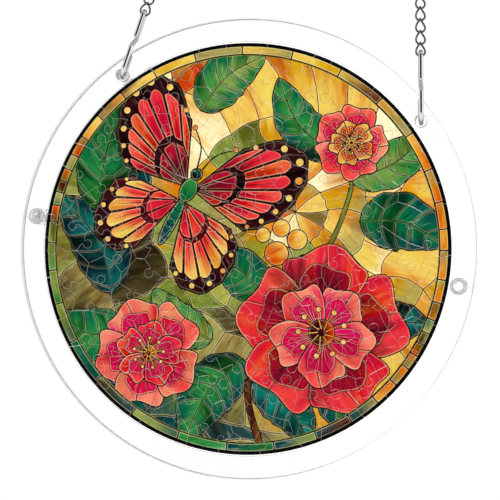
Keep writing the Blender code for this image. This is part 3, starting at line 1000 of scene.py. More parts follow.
def add_leaf(picture, base, tip, width, bend, tones, ribs=5, seed=0):
    """A pointed leaf with panes between its side veins."""
    light, body, dark = tones
    along = tip - base
    across = Vector((-along.y, along.x)).normalized()
    spine = catmull([base, (base + tip) / 2 + across * bend, tip], 24)

    def at(share):
        return spine[round(share * (len(spine) - 1))]

    def edge(share, side):
        here = at(share)
        ahead = at(min(1.0, share + 0.03)) - at(max(0.0, share - 0.03))
        out = Vector((-ahead.y, ahead.x)).normalized()
        swell = math.sin(math.pi * share**0.82) ** 0.85 if 0 < share < 1 else 0.0
        return here + side * out * width / 2 * swell * (1 + 0.04 * math.sin(30 * share + seed))

    def vein(low, high, side):
        return [blend_point(low, high, share, 0.08 * side) for share in (0.33, 0.67)]

    outline = [edge(i / 24, 1) for i in range(24)] + [edge(1 - i / 24, -1) for i in range(24)]
    picture.pane(outline, body, dark, base, tip, lead=1.7, glow=0.2)
    stops = [0.0] + [(k + 0.55) / (ribs + 0.4) * 0.86 for k in range(ribs)] + [1.0]
    for side in (1, -1):
        for k in range(ribs + 1):
            low, high = stops[k], stops[k + 1]
            reach = [min(1.0, s + 0.13) if 0 < s < 1 else s for s in (low, high)]
            inner = [at(low + (high - low) * i / 4) for i in range(5)]
            outer = [edge(reach[0] + (reach[1] - reach[0]) * i / 6, side) for i in range(7)]
            before = vein(inner[0], outer[0], side) if k else []
            after = vein(inner[-1], outer[-1], side) if k < ribs else []
            loop = without_repeats(inner + after + outer[::-1] + before[::-1])
            if len(loop) < 4 or abs(area_of(loop)) < 1.5:
                continue
            near = blend(light, body, 0.5 + 0.5 * vary(k + seed, 4 + side))
            far = blend(body, dark, 0.5 + 0.5 * vary(k + seed, 6 + side))
            picture.pane(loop, near, far, inner[2], outer[3], lead=0.8, glow=0.16)
    picture.stroke(spine, 1.1, 0.3)
    picture.stroke(spine[1:-4], 0.5, 0.12, (light, body))


def blend_point(a, b, share, bow):
    """A point between a and b, on a line that bows to one side."""
    along = b - a
    return a + along * share + Vector((-along.y, along.x)) * bow * math.sin(math.pi * share)


def without_repeats(loop, least=0.05):
    """The closed line without points that lie closer than least to the one before."""
    kept = []
    for point in loop:
        if not kept or (point - kept[-1]).length > least:
            kept.append(point)
    while len(kept) > 1 and (kept[0] - kept[-1]).length < least:
        kept.pop()
    return kept


def add_wing(picture, inks, root, heading, span, reaches, cells, tones):
    """A butterfly's wing: long cells that spread from its root, a dark margin and pale spots.

    It spans an angle, and reaches are its lengths at even steps over it."""
    heart, body, bright, margin = tones

    def reach(share):
        spot = share * (len(reaches) - 1)
        i = min(int(spot), len(reaches) - 2)
        t = spot - i
        t = t * t * (3 - 2 * t)
        return reaches[i] + (reaches[i + 1] - reaches[i]) * t

    def at(share, part):
        return root + polar(heading + span * (share - 0.5), part * reach(share))

    rim = [at(i / 40, 1.0) for i in range(41)]
    picture.pane([root] + rim, margin, inks.wine, root, rim[20], lead=1.7, glow=0.1)
    for k in range(cells):
        low, high = (k + 0.06) / cells, (k + 0.94) / cells
        steps = [low + (high - low) * i / 8 for i in range(9)]
        far = [at(s, 0.86 - 0.05 * ((2 * i / 8 - 1) ** 2)) for i, s in enumerate(steps)]
        near = [at(s, 0.42 + 0.04 * vary(k, 2)) for s in (high, (low + high) / 2, low)]
        root_tone = blend(body, heart, 0.35 + 0.35 * vary(k, 8))
        picture.pane(far + near, root_tone, bright, near[1], far[4], lead=0.9)
        ridge = [at((low + high) / 2, 0.46 + 0.3 * i / 6) for i in range(7)]
        picture.stroke(ridge, 0.38, 0.12)
        spot, size = at((low + high) / 2, 0.93), 0.034 * reach((low + high) / 2)
        picture.bead(spot, size, (inks.honey, inks.orange), polar(heading, 2), lead=0.7)
    for k in range((cells + 1) // 2):
        low, high = (2 * k + 0.1) / cells, min(1.0, (2 * k + 1.9) / cells)
        steps = [low + (high - low) * i / 6 for i in range(7)]
        far = [at(s, 0.39) for s in steps]
        near = [at(s, 0.07) for s in (high, low)]
        picture.pane(far + near, heart, blend(heart, body, 0.7), near[0], far[3], lead=0.9, glow=0.25)


def add_butterfly(picture, inks, middle, turn, size):
    """Four wings in two pairs, a jewelled body and two feelers."""

    def spot(right, up):
        return middle + polar(turn - 90, right * size) + polar(turn, up * size)

    warm = (inks.maroon, inks.crimson, inks.coral, inks.wine)
    glow = (inks.crimson, inks.coral, inks.honey, inks.maroon)
    fore = [s * size for s in (0.62, 0.74, 0.86, 0.98, 1.08, 1.12, 0.98, 0.62)]
    hind = [s * size for s in (0.62, 0.8, 0.86, 0.82, 0.74, 0.66, 0.5)]
    for level, swing, span, reaches, cells, tones in (
        (-0.04, 128, 74, hind, 6, glow),
        (0.1, 62, 76, fore, 8, warm),
    ):
        for side in (1, -1):
            root, heading = spot(0.03 * side, level), turn - side * swing
            add_wing(picture, inks, root, heading, span, reaches[::side], cells, tones)
    for low, high, wide, tones in (
        (-0.5, 0.0, 0.055, (inks.deep_teal, inks.emerald)),
        (-0.04, 0.2, 0.078, (inks.emerald, inks.leaf)),
        (0.19, 0.3, 0.055, (inks.night, inks.teal)),
    ):
        centre, half = (low + high) / 2, (high - low) / 2
        body = [spot(wide * math.cos(a), centre + half * math.sin(a)) for a in steps_round(28)]
        picture.pane(body, *tones, spot(0, low), spot(0, high), lead=1.3)
    for k in range(6):
        level = -0.42 + 0.07 * k
        wide = 0.05 * math.sqrt(max(0.1, 1 - ((level + 0.25) / 0.26) ** 2))
        picture.stroke([spot(wide * s, level + 0.02 * s * s) for s in (-1, -0.5, 0, 0.5, 1)], 0.35, 0.35)
    for side in (1, -1):
        bends = ((0.02, 0.28), (0.08, 0.48), (0.22, 0.62))
        feeler = catmull([spot(side * out, up) for out, up in bends], 8)
        picture.stroke(feeler, 0.75, 0.5)
        picture.bead(feeler[-1], 0.024 * size, (inks.orange, inks.crimson), (0, 1))


def add_sky(picture, inks, sun, radius):
    """Irregular panes in rings about the sun, amber above and green below."""
    turns, reaches = 22, (0, 15, 30, 47, 66, 88, 112, 140)

    def corner(ring, ray):
        ray %= turns
        heading = 360 * (ray + 0.34 * vary(ray, ring // 2)) / turns
        return sun + polar(heading, reaches[ring] * (1 + 0.09 * vary(ray, ring)))

    def side(first, second, key):
        """A gently bowed line that two neighbours share, without its last point."""
        bow = 0.16 * vary(*key)
        return [blend_point(first, second, i / 5, bow) for i in range(5)]

    for ring in range(len(reaches) - 1):
        step = 2 if ring < 2 else 1
        for ray in range(0, turns, step):
            outline = side(corner(ring, ray), corner(ring + 1, ray), (ray, ring + 40))
            for k in range(ray, ray + step):
                outline += side(corner(ring + 1, k), corner(ring + 1, k + 1), (k % turns, ring + 61))
            last = (ray + step) % turns
            outline.append(corner(ring + 1, last))
            outline += side(corner(ring, last), corner(ring + 1, last), (last, ring + 40))[:0:-1]
            for k in range(ray + step, ray, -1) if ring else ():
                before = side(corner(ring, k - 1), corner(ring, k), ((k - 1) % turns, ring + 60))
                outline += [corner(ring, k), *before[:0:-1]]
            middle = sum(outline, Vector((0, 0))) / len(outline)
            if middle.length > radius + 30:
                continue
            tones = sky_tones(inks, middle, ray, ring, radius)
            picture.pane(without_repeats(outline), *tones, outline[0], outline[5], lead=0.9)


def sky_tones(inks, middle, ray, ring, radius):
    """Cream and amber towards the upper right, umber, olive and teal towards the lower left."""
    warmth = middle.dot(Vector((0.62, 0.62))) / radius + 0.35 * vary(ray, ring + 3)
    if warmth > 0.42:
        choices = (inks.cream, inks.honey, inks.amber, inks.honey)
    elif warmth > 0.1:
        choices = (inks.honey, inks.amber, inks.orange, inks.tan)
    elif warmth > -0.3:
        choices = (inks.tan, inks.olive, inks.amber, inks.moss)
    else:
        choices = (inks.umber, inks.olive, inks.deep_teal, inks.tan)
    first = choices[int((vary(3 * ray, ring) + 1) * 1.99) % 4]
    second = choices[int((vary(ray, 5 * ring) + 1) * 1.99) % 4]
    return first, blend(first, second, 0.8)


def add_border(picture, inks, outer, tile_width, black_width):
    """A ring of small tiles between lead lines, inside a black ring."""
    low, high = outer - black_width - tile_width, outer - black_width
    warm = (inks.orange, inks.tan, inks.brown, inks.amber, inks.tan, inks.honey)
    cool = (inks.olive, inks.emerald, inks.umber, inks.moss, inks.leaf, inks.deep_teal)
    tiles = 40
    lengths = [1 + 0.62 * vary(k, 13) for k in range(tiles)]

    def arc(radius, start, end, steps=8):
        return [polar(start + (end - start) * i / steps, radius) for i in range(steps + 1)]

    def band(first, last, start, end):
        return arc(first, start, end) + arc(last, start, end)[::-1]

    def glaze(seed, heading):
        warmth = polar(heading, 1).dot(Vector((0.5, 0.85))) + 0.5 * vary(seed, 3)
        glazes = warm if warmth > -0.1 else cool
        return glazes[int((vary(seed, 17) + 1) / 2.01 * len(glazes))]

    end = 0.0
    for k, share in enumerate(lengths):
        start, end = end, end + 360 * share / sum(lengths)
        tone, other = glaze(k, start), glaze(k + 100, end)
        ways = polar(start, low), polar(end, low)
        picture.line(band(low - 0.4, high + 0.3, start, end))
        pale_edge = band(low + 0.2, high - 0.15, start + 0.2, end - 0.2)
        picture.paint(pale_edge, *(blend(t, inks.cream, 0.4) for t in (tone, other)), *ways)
        tile = band(low + 0.48, high - 0.4, start + 0.38, end - 0.38)
        picture.paint(tile, tone, blend(tone, other, 0.75), *ways)
        picture.paint(band(low - 0.62, low - 0.4, start, end), inks.tan, inks.olive, *ways)
        black = band(high, outer + 3, start, end)
        picture.paint(black, inks.black, inks.black, *ways, picture.black_ink)


def stained_glass_picture(inks, sizes):
    """A butterfly above round blossoms and leaves, before an amber sky."""
    picture = Picture(sizes.lead_width / MM)
    outer = sizes.puzzle_radius / MM
    radius = outer - (sizes.black_ring + sizes.tile_ring) / MM
    add_sky(picture, inks, Vector((22, 16)), radius)
    greens = (inks.leaf, inks.emerald, inks.deep_teal)
    cool = (inks.teal, inks.deep_teal, inks.night)
    spring = (inks.moss, inks.leaf, inks.emerald)
    stem = ((8, -86), (2, -60), (12, -30), (34, -4), (46, 26), (44, 44))
    twig = ((3, -62), (-16, -52), (-38, -50))
    for bends, lead, bark in ((stem, (3.4, 1.8), (2.4, 1.0)), (twig, (2.6, 1.6), (1.7, 0.9))):
        path = catmull([Vector(p) for p in bends], 10)
        picture.leaded_stroke(path, lead, bark, (inks.brown, inks.olive))
    for base, tip, width, bend, tones in (
        ((-58, -20), (-84, 22), 25, -6, cool),
        ((-66, 16), (-46, 74), 26, 5, greens),
        ((-20, 60), (8, 84), 21, 4, spring),
        ((40, 40), (14, 74), 19, 5, greens),
        ((46, 30), (80, 52), 19, -4, spring),
        ((50, 12), (86, 2), 25, 5, greens),
        ((56, -36), (80, -32), 18, 3, cool),
        ((36, -58), (58, -74), 20, -3, greens),
        ((4, -58), (30, -84), 20, 4, cool),
        ((0, -48), (-26, -84), 24, -4, greens),
        ((-46, -56), (-66, -74), 22, 4, cool),
        ((-50, -36), (-86, -30), 23, 5, greens),
        ((10, -24), (-18, -2), 20, -4, greens),
        ((-14, -40), (-40, -18), 18, 4, spring),
    ):
        add_leaf(picture, Vector(base), Vector(tip), width, bend, tones, seed=base[0])
    for x, z, size in ((14, -2, 5.2), (23, 4, 4.4), (16, 9, 3.8), (26, -6, 3.6), (8, 6, 3.2)):
        berry, start, end = Vector((x, z)), polar(200, size), polar(20, size)
        picture.bead(berry, size, (inks.orange, inks.honey), end, start, sides=22, lead=1.1)
    rose = (inks.magenta, inks.crimson, inks.salmon)
    dark = (inks.maroon, inks.crimson, inks.coral)
    bright = (inks.magenta, inks.crimson, inks.coral)
    pale = (inks.magenta, inks.coral, inks.salmon)
    golden = (inks.crimson, inks.orange, inks.honey)
    add_blossom(picture, inks, Vector((34, -36)), 34, 12, dark, rose)
    add_blossom(picture, inks, Vector((-42, -46)), 22, 40, rose, bright)
    add_blossom(picture, inks, Vector((46, 46)), 15, 70, pale, golden)
    add_butterfly(picture, inks, Vector((-27, 22)), 62, 47)
    add_border(picture, inks, outer, sizes.tile_ring / MM, sizes.black_ring / MM)
    return picture


# The printed pieces ------------------------------------------------------------


MELTED_TONE = np.array((0.85, 0.8, 0.72))
MELTED_SHARE = 0.07
EDGE_DROP = 0.4  # how far a piece's edge drops, as a share of its bevel
RIM_DEPTH = 0.3  # walls this close to the rim, in millimetres, are its own
CUT_WALL = 3  # its finish, after the picture's three. The rim's wall has the next one


def closed_lines(outlines):
    """Points of several outlines and the lines that close each of them."""
    points, lines = [], []
    for outline in outlines:
        first, count = len(points), len(outline)
        lines += [(first + i, first + (i + 1) % count) for i in range(count)]
        points += outline
    return points, lines


def open_edges(triangles):
    """The edges that only one of the triangles has, in its order of corners."""
    ends = np.concatenate([triangles[:, [0, 1]], triangles[:, [1, 2]], triangles[:, [2, 0]]])
    count = triangles.max() + 1
    there, back = ends @ (count, 1), ends @ (1, count)
    return ends[~np.isin(there, back)]


def add_face_values(mesh, name, kind, values):
    made = mesh.attributes.new(name, kind, "FACE")
    made.data.foreach_set("color" if kind == "FLOAT_COLOR" else "vector", values.ravel())


class PrintedSheet:
    """The picture cut into the jigsaw's pieces: triangles, each with its piece and its topmost shape."""

    def __init__(self, picture, jigsaw, turn, kerf, bevel):
        spin = Matrix.Rotation(turn, 2)
        shapes = [[spin @ p for p in outline] for outline in picture.outlines]
        outlines = [without_repeats(jigsaw.outline(piece), 0.3) for piece in range(len(jigsaw.pieces))]
        bodies = [moved_in(outline, kerf / 2) for outline in outlines]
        faces = [moved_in(outline, kerf / 2 + bevel) for outline in outlines]
        points, lines = closed_lines(shapes + bodies + faces)
        made = delaunay_2d_cdt(points, lines, [], 0, 1e-5)
        self.flat = np.array([p[:] for p in made[0]])
        triangles = np.array(made[2])
        middles = self.flat[triangles].mean(1)
        pieces = topmost_shape(middles, bodies)
        inside = pieces >= 0
        self.triangles, self.pieces = triangles[inside], pieces[inside]
        self.melted = topmost_shape(middles[inside], faces) < 0
        self.topmost = topmost_shape(middles[inside], shapes)
        self.rim = max(p.length for body in bodies for p in body)
        self.face_the_front()
        self.finishes = np.array(picture.finishes)
        self.tones = np.array([[tone[:3] for tone in both] for both in picture.tones])
        self.runs = self.runs_in_metres(np.array(picture.runs), turn)

    def face_the_front(self):
        """Makes every triangle run counter-clockwise."""
        a, b, c = (self.flat[self.triangles[:, k]] for k in range(3))
        ab, ac = b - a, c - a
        clockwise = ab[:, 0] * ac[:, 1] - ab[:, 1] * ac[:, 0] < 0
        self.triangles[clockwise] = self.triangles[clockwise][:, ::-1]

    def runs_in_metres(self, runs, turn):
        """The runs of the shapes' streaks, turned with the picture and set on the disc."""
        cos, sin = math.cos(turn), math.sin(turn)
        x, z, start = runs.T
        x, z = x * cos - z * sin, x * sin + z * cos
        start = start + (x * (DISC_CENTRE.x / MM) + z * (DISC_CENTRE.z / MM))
        return np.stack([x / MM, z / MM, start], 1)

    def mesh(self, name, members, bevel, finishes):
        """The pieces in members as one mesh of closed bodies, printed on both faces."""
        chosen = np.isin(self.pieces, members)
        used, triangles = np.unique(self.triangles[chosen], return_inverse=True)
        triangles, flat = triangles.reshape(-1, 3), self.flat[used]
        edge = open_edges(triangles)
        far = triangles[:, ::-1] + len(used)
        walls = np.stack([edge[:, 1], edge[:, 0], edge[:, 0] + len(used), edge[:, 1] + len(used)], 1)
        corners = np.concatenate([triangles.ravel(), far.ravel(), walls.ravel()])
        counts = np.concatenate([np.full(2 * len(triangles), 3), np.full(len(walls), 4)])
        mesh = bpy.data.meshes.new(name)
        mesh.vertices.add(2 * len(used))
        mesh.vertices.foreach_set("co", self.both_faces(flat, edge, bevel).ravel())
        mesh.loops.add(len(corners))
        mesh.loops.foreach_set("vertex_index", corners)
        mesh.polygons.add(len(counts))
        mesh.polygons.foreach_set("loop_start", np.concatenate([[0], np.cumsum(counts)[:-1]]))
        mesh.update(calc_edges=True)
        at_rim = (np.hypot(*flat.T) > self.rim - RIM_DEPTH)[edge].all(1)
        self.print_on(mesh, self.topmost[chosen], self.melted[chosen], CUT_WALL + at_rim)
        for finish in finishes:
            mesh.materials.append(finish)
        mesh.validate()
        return mesh

    def both_faces(self, flat, edge, bevel):
        """The points of the front and then of the back, with their edges dropped a little."""
        depth = np.zeros(len(flat))
        depth[edge.ravel()] = EDGE_DROP * bevel
        x, z = DISC_CENTRE.x + np.tile(flat[:, 0], 2) * MM, DISC_CENTRE.z + np.tile(flat[:, 1], 2) * MM
        y = np.concatenate([PUZZLE_FRONT + depth, PUZZLE_BACK - depth])
        return np.stack([x, y, z], 1)

    def print_on(self, mesh, topmost, melted, wall_finishes):
        """Gives each face its finish, its two tones and the run of its streaks."""
        face_finishes = np.where(melted, Picture.glass, self.finishes[topmost])
        index = np.concatenate([face_finishes, face_finishes, wall_finishes]).astype(np.int32)
        mesh.polygons.foreach_set("material_index", index)
        walls = len(wall_finishes)
        for which, name in enumerate(("tone_a", "tone_b")):
            tones = self.tones[topmost, which]
            tones[melted] += MELTED_SHARE * (MELTED_TONE - tones[melted])
            tones = np.concatenate([tones, tones, np.ones((walls, 3))])
            tones = np.concatenate([tones, np.ones((len(tones), 1))], 1)
            add_face_values(mesh, name, "FLOAT_COLOR", tones)
        runs = self.runs[topmost]
        runs = np.concatenate([runs, runs, np.zeros((walls, 3))])
        add_face_values(mesh, "pane_run", "FLOAT_VECTOR", runs)


# The clear discs and the jigsaw ------------------------------------------------


INNER_ROUNDING = 0.06 * MM  # of the edges that face another disc
RIM_STEPS = 360
HOLE_STEPS = 48


def disc_holes(sizes):
    """The hanging holes and the screws' bores, as outlines round the disc's centre."""
    x = SCREW_CIRCLE * math.sin(sizes.hole_angle)
    z = SCREW_CIRCLE * math.cos(sizes.hole_angle)
    hanging = [circle(sizes.hole_radius, HOLE_STEPS, (way * x, z)) for way in (-1, 1)]
    screwed = [(way * SCREW_CIRCLE, SCREW_HEIGHT) for way in (-1, 1)]
    return hanging + [circle(sizes.screw_bore, HOLE_STEPS, centre) for centre in screwed]


def add_clear_slab(name, holes, roundings, frosted_from=1):
    """A clear disc or ring with bright faces, frosted bores and a polished rim."""
    low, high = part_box(name)
    rim = circle(DISC_RADIUS, RIM_STEPS)
    points, faces, marks = slab(rim, holes, low.y, high.y, roundings, frosted_from)
    middle = Vector((DISC_CENTRE.x, 0, DISC_CENTRE.z))
    finishes = [bpy.data.materials[finish] for finish in ("cast_acrylic", "cut_edge", "polished_rim")]
    mesh = mesh_of(name, [p + middle for p in points], faces, *finishes, sharp=60)
    mesh.polygons.foreach_set("use_smooth", [mark != FLAT for mark in marks])
    # The rim's faces take the greyer copy of the clear acrylic: painted shade for the rim's line.
    for face, mark in zip(mesh.polygons, marks):
        at_rim = mark == CLEAR and (face.center - middle).length > DISC_RADIUS - MM
        face.material_index = 2 if at_rim else int(mark == FROSTED)
    add_piece(name + "_polished", mesh, "clear_acrylic", name)


class SUNCATCHER_OT_clear_discs(bpy.types.Operator):
    """Make the two clear discs with their polished edges"""

    bl_idname = "suncatcher.clear_discs"
    bl_label = "Clear discs"

    def execute(self, context):
        sizes = context.scene.suncatcher_sizes
        colours = context.scene.suncatcher_colours
        clear_acrylic("cast_acrylic", colours.clear)
        # A greyer copy of the clear acrylic for the rims: painted shade that draws them as grey lines.
        clear_acrylic("polished_rim", colours.rim)
        cut_edge(colours.edge)
        outside, inside = sizes.edge_rounding, INNER_ROUNDING
        for name, roundings in (("front_plate", (outside, inside)), ("back_plate", (inside, outside))):
            add_clear_slab(name, disc_holes(sizes), roundings)
        return {"FINISHED"}


class SUNCATCHER_OT_spacer_ring(bpy.types.Operator):
    """Make the clear ring that keeps the discs apart"""

    bl_idname = "suncatcher.spacer_ring"
    bl_label = "Spacer ring"

    def execute(self, context):
        sizes = context.scene.suncatcher_sizes
        holes = [circle(sizes.spacer_inner_radius, RIM_STEPS), *disc_holes(sizes)]
        add_clear_slab("spacer_ring", holes, (INNER_ROUNDING, INNER_ROUNDING), frosted_from=2)
        return {"FINISHED"}


# Strength of the painted glow (emission) on the cut walls and on the rim's wall.
CUT_PAINTED_GLOW = 0.045
RIM_PAINTED_GLOW = 0.8


class SUNCATCHER_OT_jigsaw(bpy.types.Operator):
    """Cut and print the jigsaw's pieces"""

    bl_idname = "suncatcher.jigsaw"
    bl_label = "Printed jigsaw"

    def execute(self, context):
        sizes = context.scene.suncatcher_sizes
        inks = context.scene.suncatcher_colours
        jigsaw = Jigsaw(sizes.puzzle_radius / MM, sizes.pieces)
        picture = stained_glass_picture(inks, sizes)
        kerf, bevel = sizes.kerf / MM, sizes.piece_bevel / MM
        sheet = PrintedSheet(picture, jigsaw, sizes.picture_turn, kerf, bevel)
        finishes = [
            printed_glass(),
            printed_lead("printed_lead", inks.lead),
            printed_lead("printed_black", inks.black),
            # The last two finishes carry a painted glow, weak on the cut walls and strong on the rim's
            # wall.
            cut_acrylic("cut_acrylic", CUT_PAINTED_GLOW),
            cut_acrylic("rim_acrylic", RIM_PAINTED_GLOW),
        ]
        for group, node in enumerate(PUZZLE_NODES):
            members = [p for p, g in enumerate(jigsaw.group_of) if g == group]
            name = f"jigsaw_pieces_{group + 1:02d}"
            mesh = sheet.mesh(name, members, sizes.piece_bevel, finishes)
            add_piece(name, mesh, "printed_acrylic", node)
        return {"FINISHED"}


# Screws and nuts ---------------------------------------------------------------


HEAD_HEIGHT = 2.0 * MM
DOME_SHARE = 0.78  # of the head's height
HEAD_EDGE_SHARE = 0.86
THREAD_DEPTH = 0.16 * MM
THREAD_STEPS = 6  # to each turn
SCREW_SIDES = 48
SCREW_TIP = 0.5 * MM  # without a thread
SLOT_WIDTH = 1.0 * MM
SLOT_DEPTH = 0.8 * MM
SLOT_TURN = math.radians(50)
SCREW_SHARP = 32  # degrees


def threaded(radius, pitch, y):
    """The thread's radius at the height y, as a function of the angle."""
    return lambda a: radius - THREAD_DEPTH * abs(((y / pitch + a / math.tau) % 1) * 2 - 1)


def screw_form(node, sizes):
    """A slotted screw along Y, with a domed head in front and a fine thread."""
    low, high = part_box(node)
    head, shank, pitch = sizes.screw_head, sizes.screw_shank, sizes.thread_pitch
    top, seat, end = low.y, low.y + HEAD_HEIGHT, high.y
    rise, thread = seat - top, end - seat - SCREW_TIP
    rings = [
        (head * math.sin(a), top + rise * DOME_SHARE * (1 - math.cos(a) ** 1.4))
        for a in (0.05, 0.25, 0.45, 0.65, 0.85, 1.05, 1.22, 1.36, 1.46)
    ]
    rings += [(head, top + HEAD_EDGE_SHARE * rise), (head, seat - 0.15 * MM)]
    rings += [(head - 0.12 * MM, seat), (shank + 0.15 * MM, seat)]
    steps = round(thread / pitch * THREAD_STEPS)
    for i in range(steps + 1):
        y = seat + 0.1 * MM + thread * i / steps
        rings.append((threaded(shank, pitch, y), y))
    rings += [(shank - 0.3 * MM, end - 0.1 * MM), (shank - 0.5 * MM, end)]
    return capped(rings, SCREW_SIDES)


def cut_slot(piece, node, sizes):
    """Cuts the driver's slot into the screw's head."""
    low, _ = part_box(node)
    reach, half = sizes.screw_head + MM, SLOT_WIDTH / 2
    corners = [(x, y, z) for x in (-reach, reach) for y in (-MM, SLOT_DEPTH) for z in (-half, half)]
    faces = [(0, 1, 3, 2), (4, 6, 7, 5), (0, 4, 5, 1), (2, 3, 7, 6), (0, 2, 6, 4), (1, 5, 7, 3)]
    mesh = mesh_of("slot_cutter", corners, faces, smooth=False)
    middle = box_middle(node)
    mesh.transform(Matrix.Rotation(SLOT_TURN, 4, "Y"))
    mesh.transform(Matrix.Translation((middle.x, low.y, middle.z)))
    cutter = bpy.data.objects.new("slot_cutter", mesh)
    bpy.context.scene.collection.objects.link(cutter)
    cut = piece.modifiers.new("slot", "BOOLEAN")
    cut.object = cutter
    cut.solver = "EXACT"
    bpy.context.view_layer.update()
    graph = bpy.context.evaluated_depsgraph_get()
    made = bpy.data.meshes.new_from_object(piece.evaluated_get(graph))
    piece.modifiers.clear()
    made.shade_smooth()
    made.set_sharp_from_angle(angle=math.radians(SCREW_SHARP))
    piece.data = made
    bpy.data.objects.remove(cutter)
    bpy.data.meshes.remove(mesh)


class SUNCATCHER_OT_screws(bpy.types.Operator):
    """Make the two clear slotted screws"""

    bl_idname = "suncatcher.screws"
    bl_label = "Screws"

    def execute(self, context):
        sizes = context.scene.suncatcher_sizes
        finish = clear_nylon(context.scene.suncatcher_colours.nylon)
        for side in SIDES:
            node = "screw_" + side
            points, faces = screw_form(node, sizes)
            mesh = mesh_of(node, over_node(points, node), faces, finish, sharp=SCREW_SHARP)
            cut_slot(add_piece("slotted_screw_" + side, mesh, "clear_acrylic", node), node, sizes)
        return {"FINISHED"}


NUT_SIDES = 96
NUT_LEAD_IN = 0.3 * MM
NUT_CHAMFER = math.radians(35)


def nut_form(node, sizes):
    """A hex nut along Y, with its corners chamfered and its bore open."""
    low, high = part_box(node)
    half = sizes.nut_width / 2
    bore = sizes.screw_shank + 0.3 * MM
    chamfer = half + 0.1 * MM

    def hexagon(a):
        swing = (a + math.radians(30) + math.pi / 6) % (math.pi / 3) - math.pi / 6
        return half / math.cos(swing)

    def fall(a):
        return max(0.0, hexagon(a) - chamfer) * math.tan(NUT_CHAMFER)

    rings = [
        (bore, low.y + NUT_LEAD_IN),
        (bore + NUT_LEAD_IN, low.y),
        (chamfer, low.y),
        (hexagon, lambda a: low.y + fall(a)),
        (hexagon, lambda a: high.y - fall(a)),
        (chamfer, high.y),
        (bore + NUT_LEAD_IN, high.y),
        (bore, high.y - NUT_LEAD_IN),
    ]
    points, _ = turned(rings, NUT_SIDES)
    faces = grid_faces(len(rings), NUT_SIDES, closed_rows=True)
    return points, [face[::-1] for face in faces]


class SUNCATCHER_OT_nuts(bpy.types.Operator):
    """Make the two hex nuts behind the disc"""

    bl_idname = "suncatcher.nuts"
    bl_label = "Hex nuts"

    def execute(self, context):
        sizes = context.scene.suncatcher_sizes
        finish = bpy.data.materials["clear_nylon"]
        for side in SIDES:
            node = "nut_" + side
            points, faces = nut_form(node, sizes)
            mesh = mesh_of(node, over_node(points, node), faces, finish, sharp=30)
            add_piece("hex_nut_" + side, mesh, "clear_acrylic", node)
        return {"FINISHED"}


# Hooks, chains and end rings ---------------------------------------------------


class Hanger:
    """The line on which one hook, its chain and its end ring hang, up from its hole."""

    def __init__(self, side, sizes):
        way = -1 if side == "left" else 1
        from_centre = Vector((way * math.sin(sizes.hole_angle), 0, math.cos(sizes.hole_angle)))
        foot = DISC_CENTRE + SCREW_CIRCLE * from_centre
        foot.y = 0
        ring = box_middle("end_ring_" + side)
        along = Vector((ring.x - foot.x, 0, ring.z - foot.z))
        self.ring_height = along.length
        lean = math.atan2(along.x, along.z)
        self.matrix = Matrix.Translation(foot) @ Matrix.Rotation(lean, 4, "Y")


# Heights on a hook are above its hole's centre.
LOWER_TIP = 9.9 * MM
CROSSING_START = 12.6 * MM
CROSSING_END = 17.7 * MM
UPPER_TIP = 17.6 * MM
HOOK_TOP = 30.8 * MM
UPPER_BEND = 2.7 * MM
HOOK_SWIVEL = math.radians(5)
LINKS = 6
LINK_LENGTH = 5.9 * MM
LINK_WIDTH = 4.6 * MM
LINK_BITE = 0.12 * MM
CLEARANCE = 0.3 * MM
SOLID_HOLE_SIDES = 12  # the solids' holes are polygons, and the hooks hang from their flats
HOOK_SIDES = 20
LINK_SIDES = 14
LINK_STEPS = 40


def half_turn(steps):
    """Angles at even steps over half a turn."""
    return [math.pi * i / steps for i in range(steps + 1)]


def hook_path(sizes):
    """The S-hook's centre line in the YZ plane, up from the tip of its short leg behind the disc."""
    half_stack = -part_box("front_plate")[0].y
    lower_bend = -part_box("hook_left")[0].y - sizes.hook_wire
    hole_top = sizes.hole_radius * math.cos(math.pi / SOLID_HOLE_SIDES)
    inside = lower_bend - sizes.hook_wire - CLEARANCE
    low = hole_top + math.sqrt(inside**2 - half_stack**2)
    top = HOOK_TOP - sizes.hook_wire - UPPER_BEND
    dome = 0.7 * sizes.hook_wire
    path = [(lower_bend, LOWER_TIP - dome), (lower_bend, (low + LOWER_TIP) / 2)]
    path += [(lower_bend * math.cos(a), low - lower_bend * math.sin(a)) for a in half_turn(10)]
    path.append((-lower_bend, (low + CROSSING_START) / 2))
    for i in range(5):
        share = i / 4
        ease = share * share * (3 - 2 * share)
        y = -lower_bend + ease * (lower_bend + UPPER_BEND)
        path.append((y, CROSSING_START + share * (CROSSING_END - CROSSING_START)))
    path += [(UPPER_BEND * math.cos(a), top + UPPER_BEND * math.sin(a)) for a in half_turn(8)]
    path.append((-UPPER_BEND, UPPER_TIP + dome))
    return catmull([Vector((0, y, z)) for y, z in path], 5)


class SUNCATCHER_OT_hooks(bpy.types.Operator):
    """Make the two long S-hooks"""

    bl_idname = "suncatcher.hooks"
    bl_label = "Hooks"

    def execute(self, context):
        sizes = context.scene.suncatcher_sizes
        finish = plated_steel("plated_wire", context.scene.suncatcher_colours.steel, WIRE_ROUGHNESS)
        for side in SIDES:
            place = Hanger(side, sizes).matrix @ Matrix.Rotation(HOOK_SWIVEL, 4, "Z")
            form = placed(wire(hook_path(sizes), sizes.hook_wire, HOOK_SIDES), place)
            mesh = mesh_of("hook_" + side, *form, finish)
            add_piece("bent_hook_" + side, mesh, "polished_steel", "hook_" + side)
        return {"FINISHED"}


def link_form(height, sizes):
    """One oval link, twisted a quarter turn from its lower end to its upper end."""
    path = []
    for a in steps_round(LINK_STEPS):
        across, up = LINK_WIDTH / 2 * math.cos(a), LINK_LENGTH / 2 * math.sin(a)
        turn = math.radians(90) * (up / LINK_LENGTH + 0.5)
        path.append(Vector((across * math.cos(turn), across * math.sin(turn), height + up)))
    return wire(path, sizes.link_wire, LINK_SIDES, closed=True)


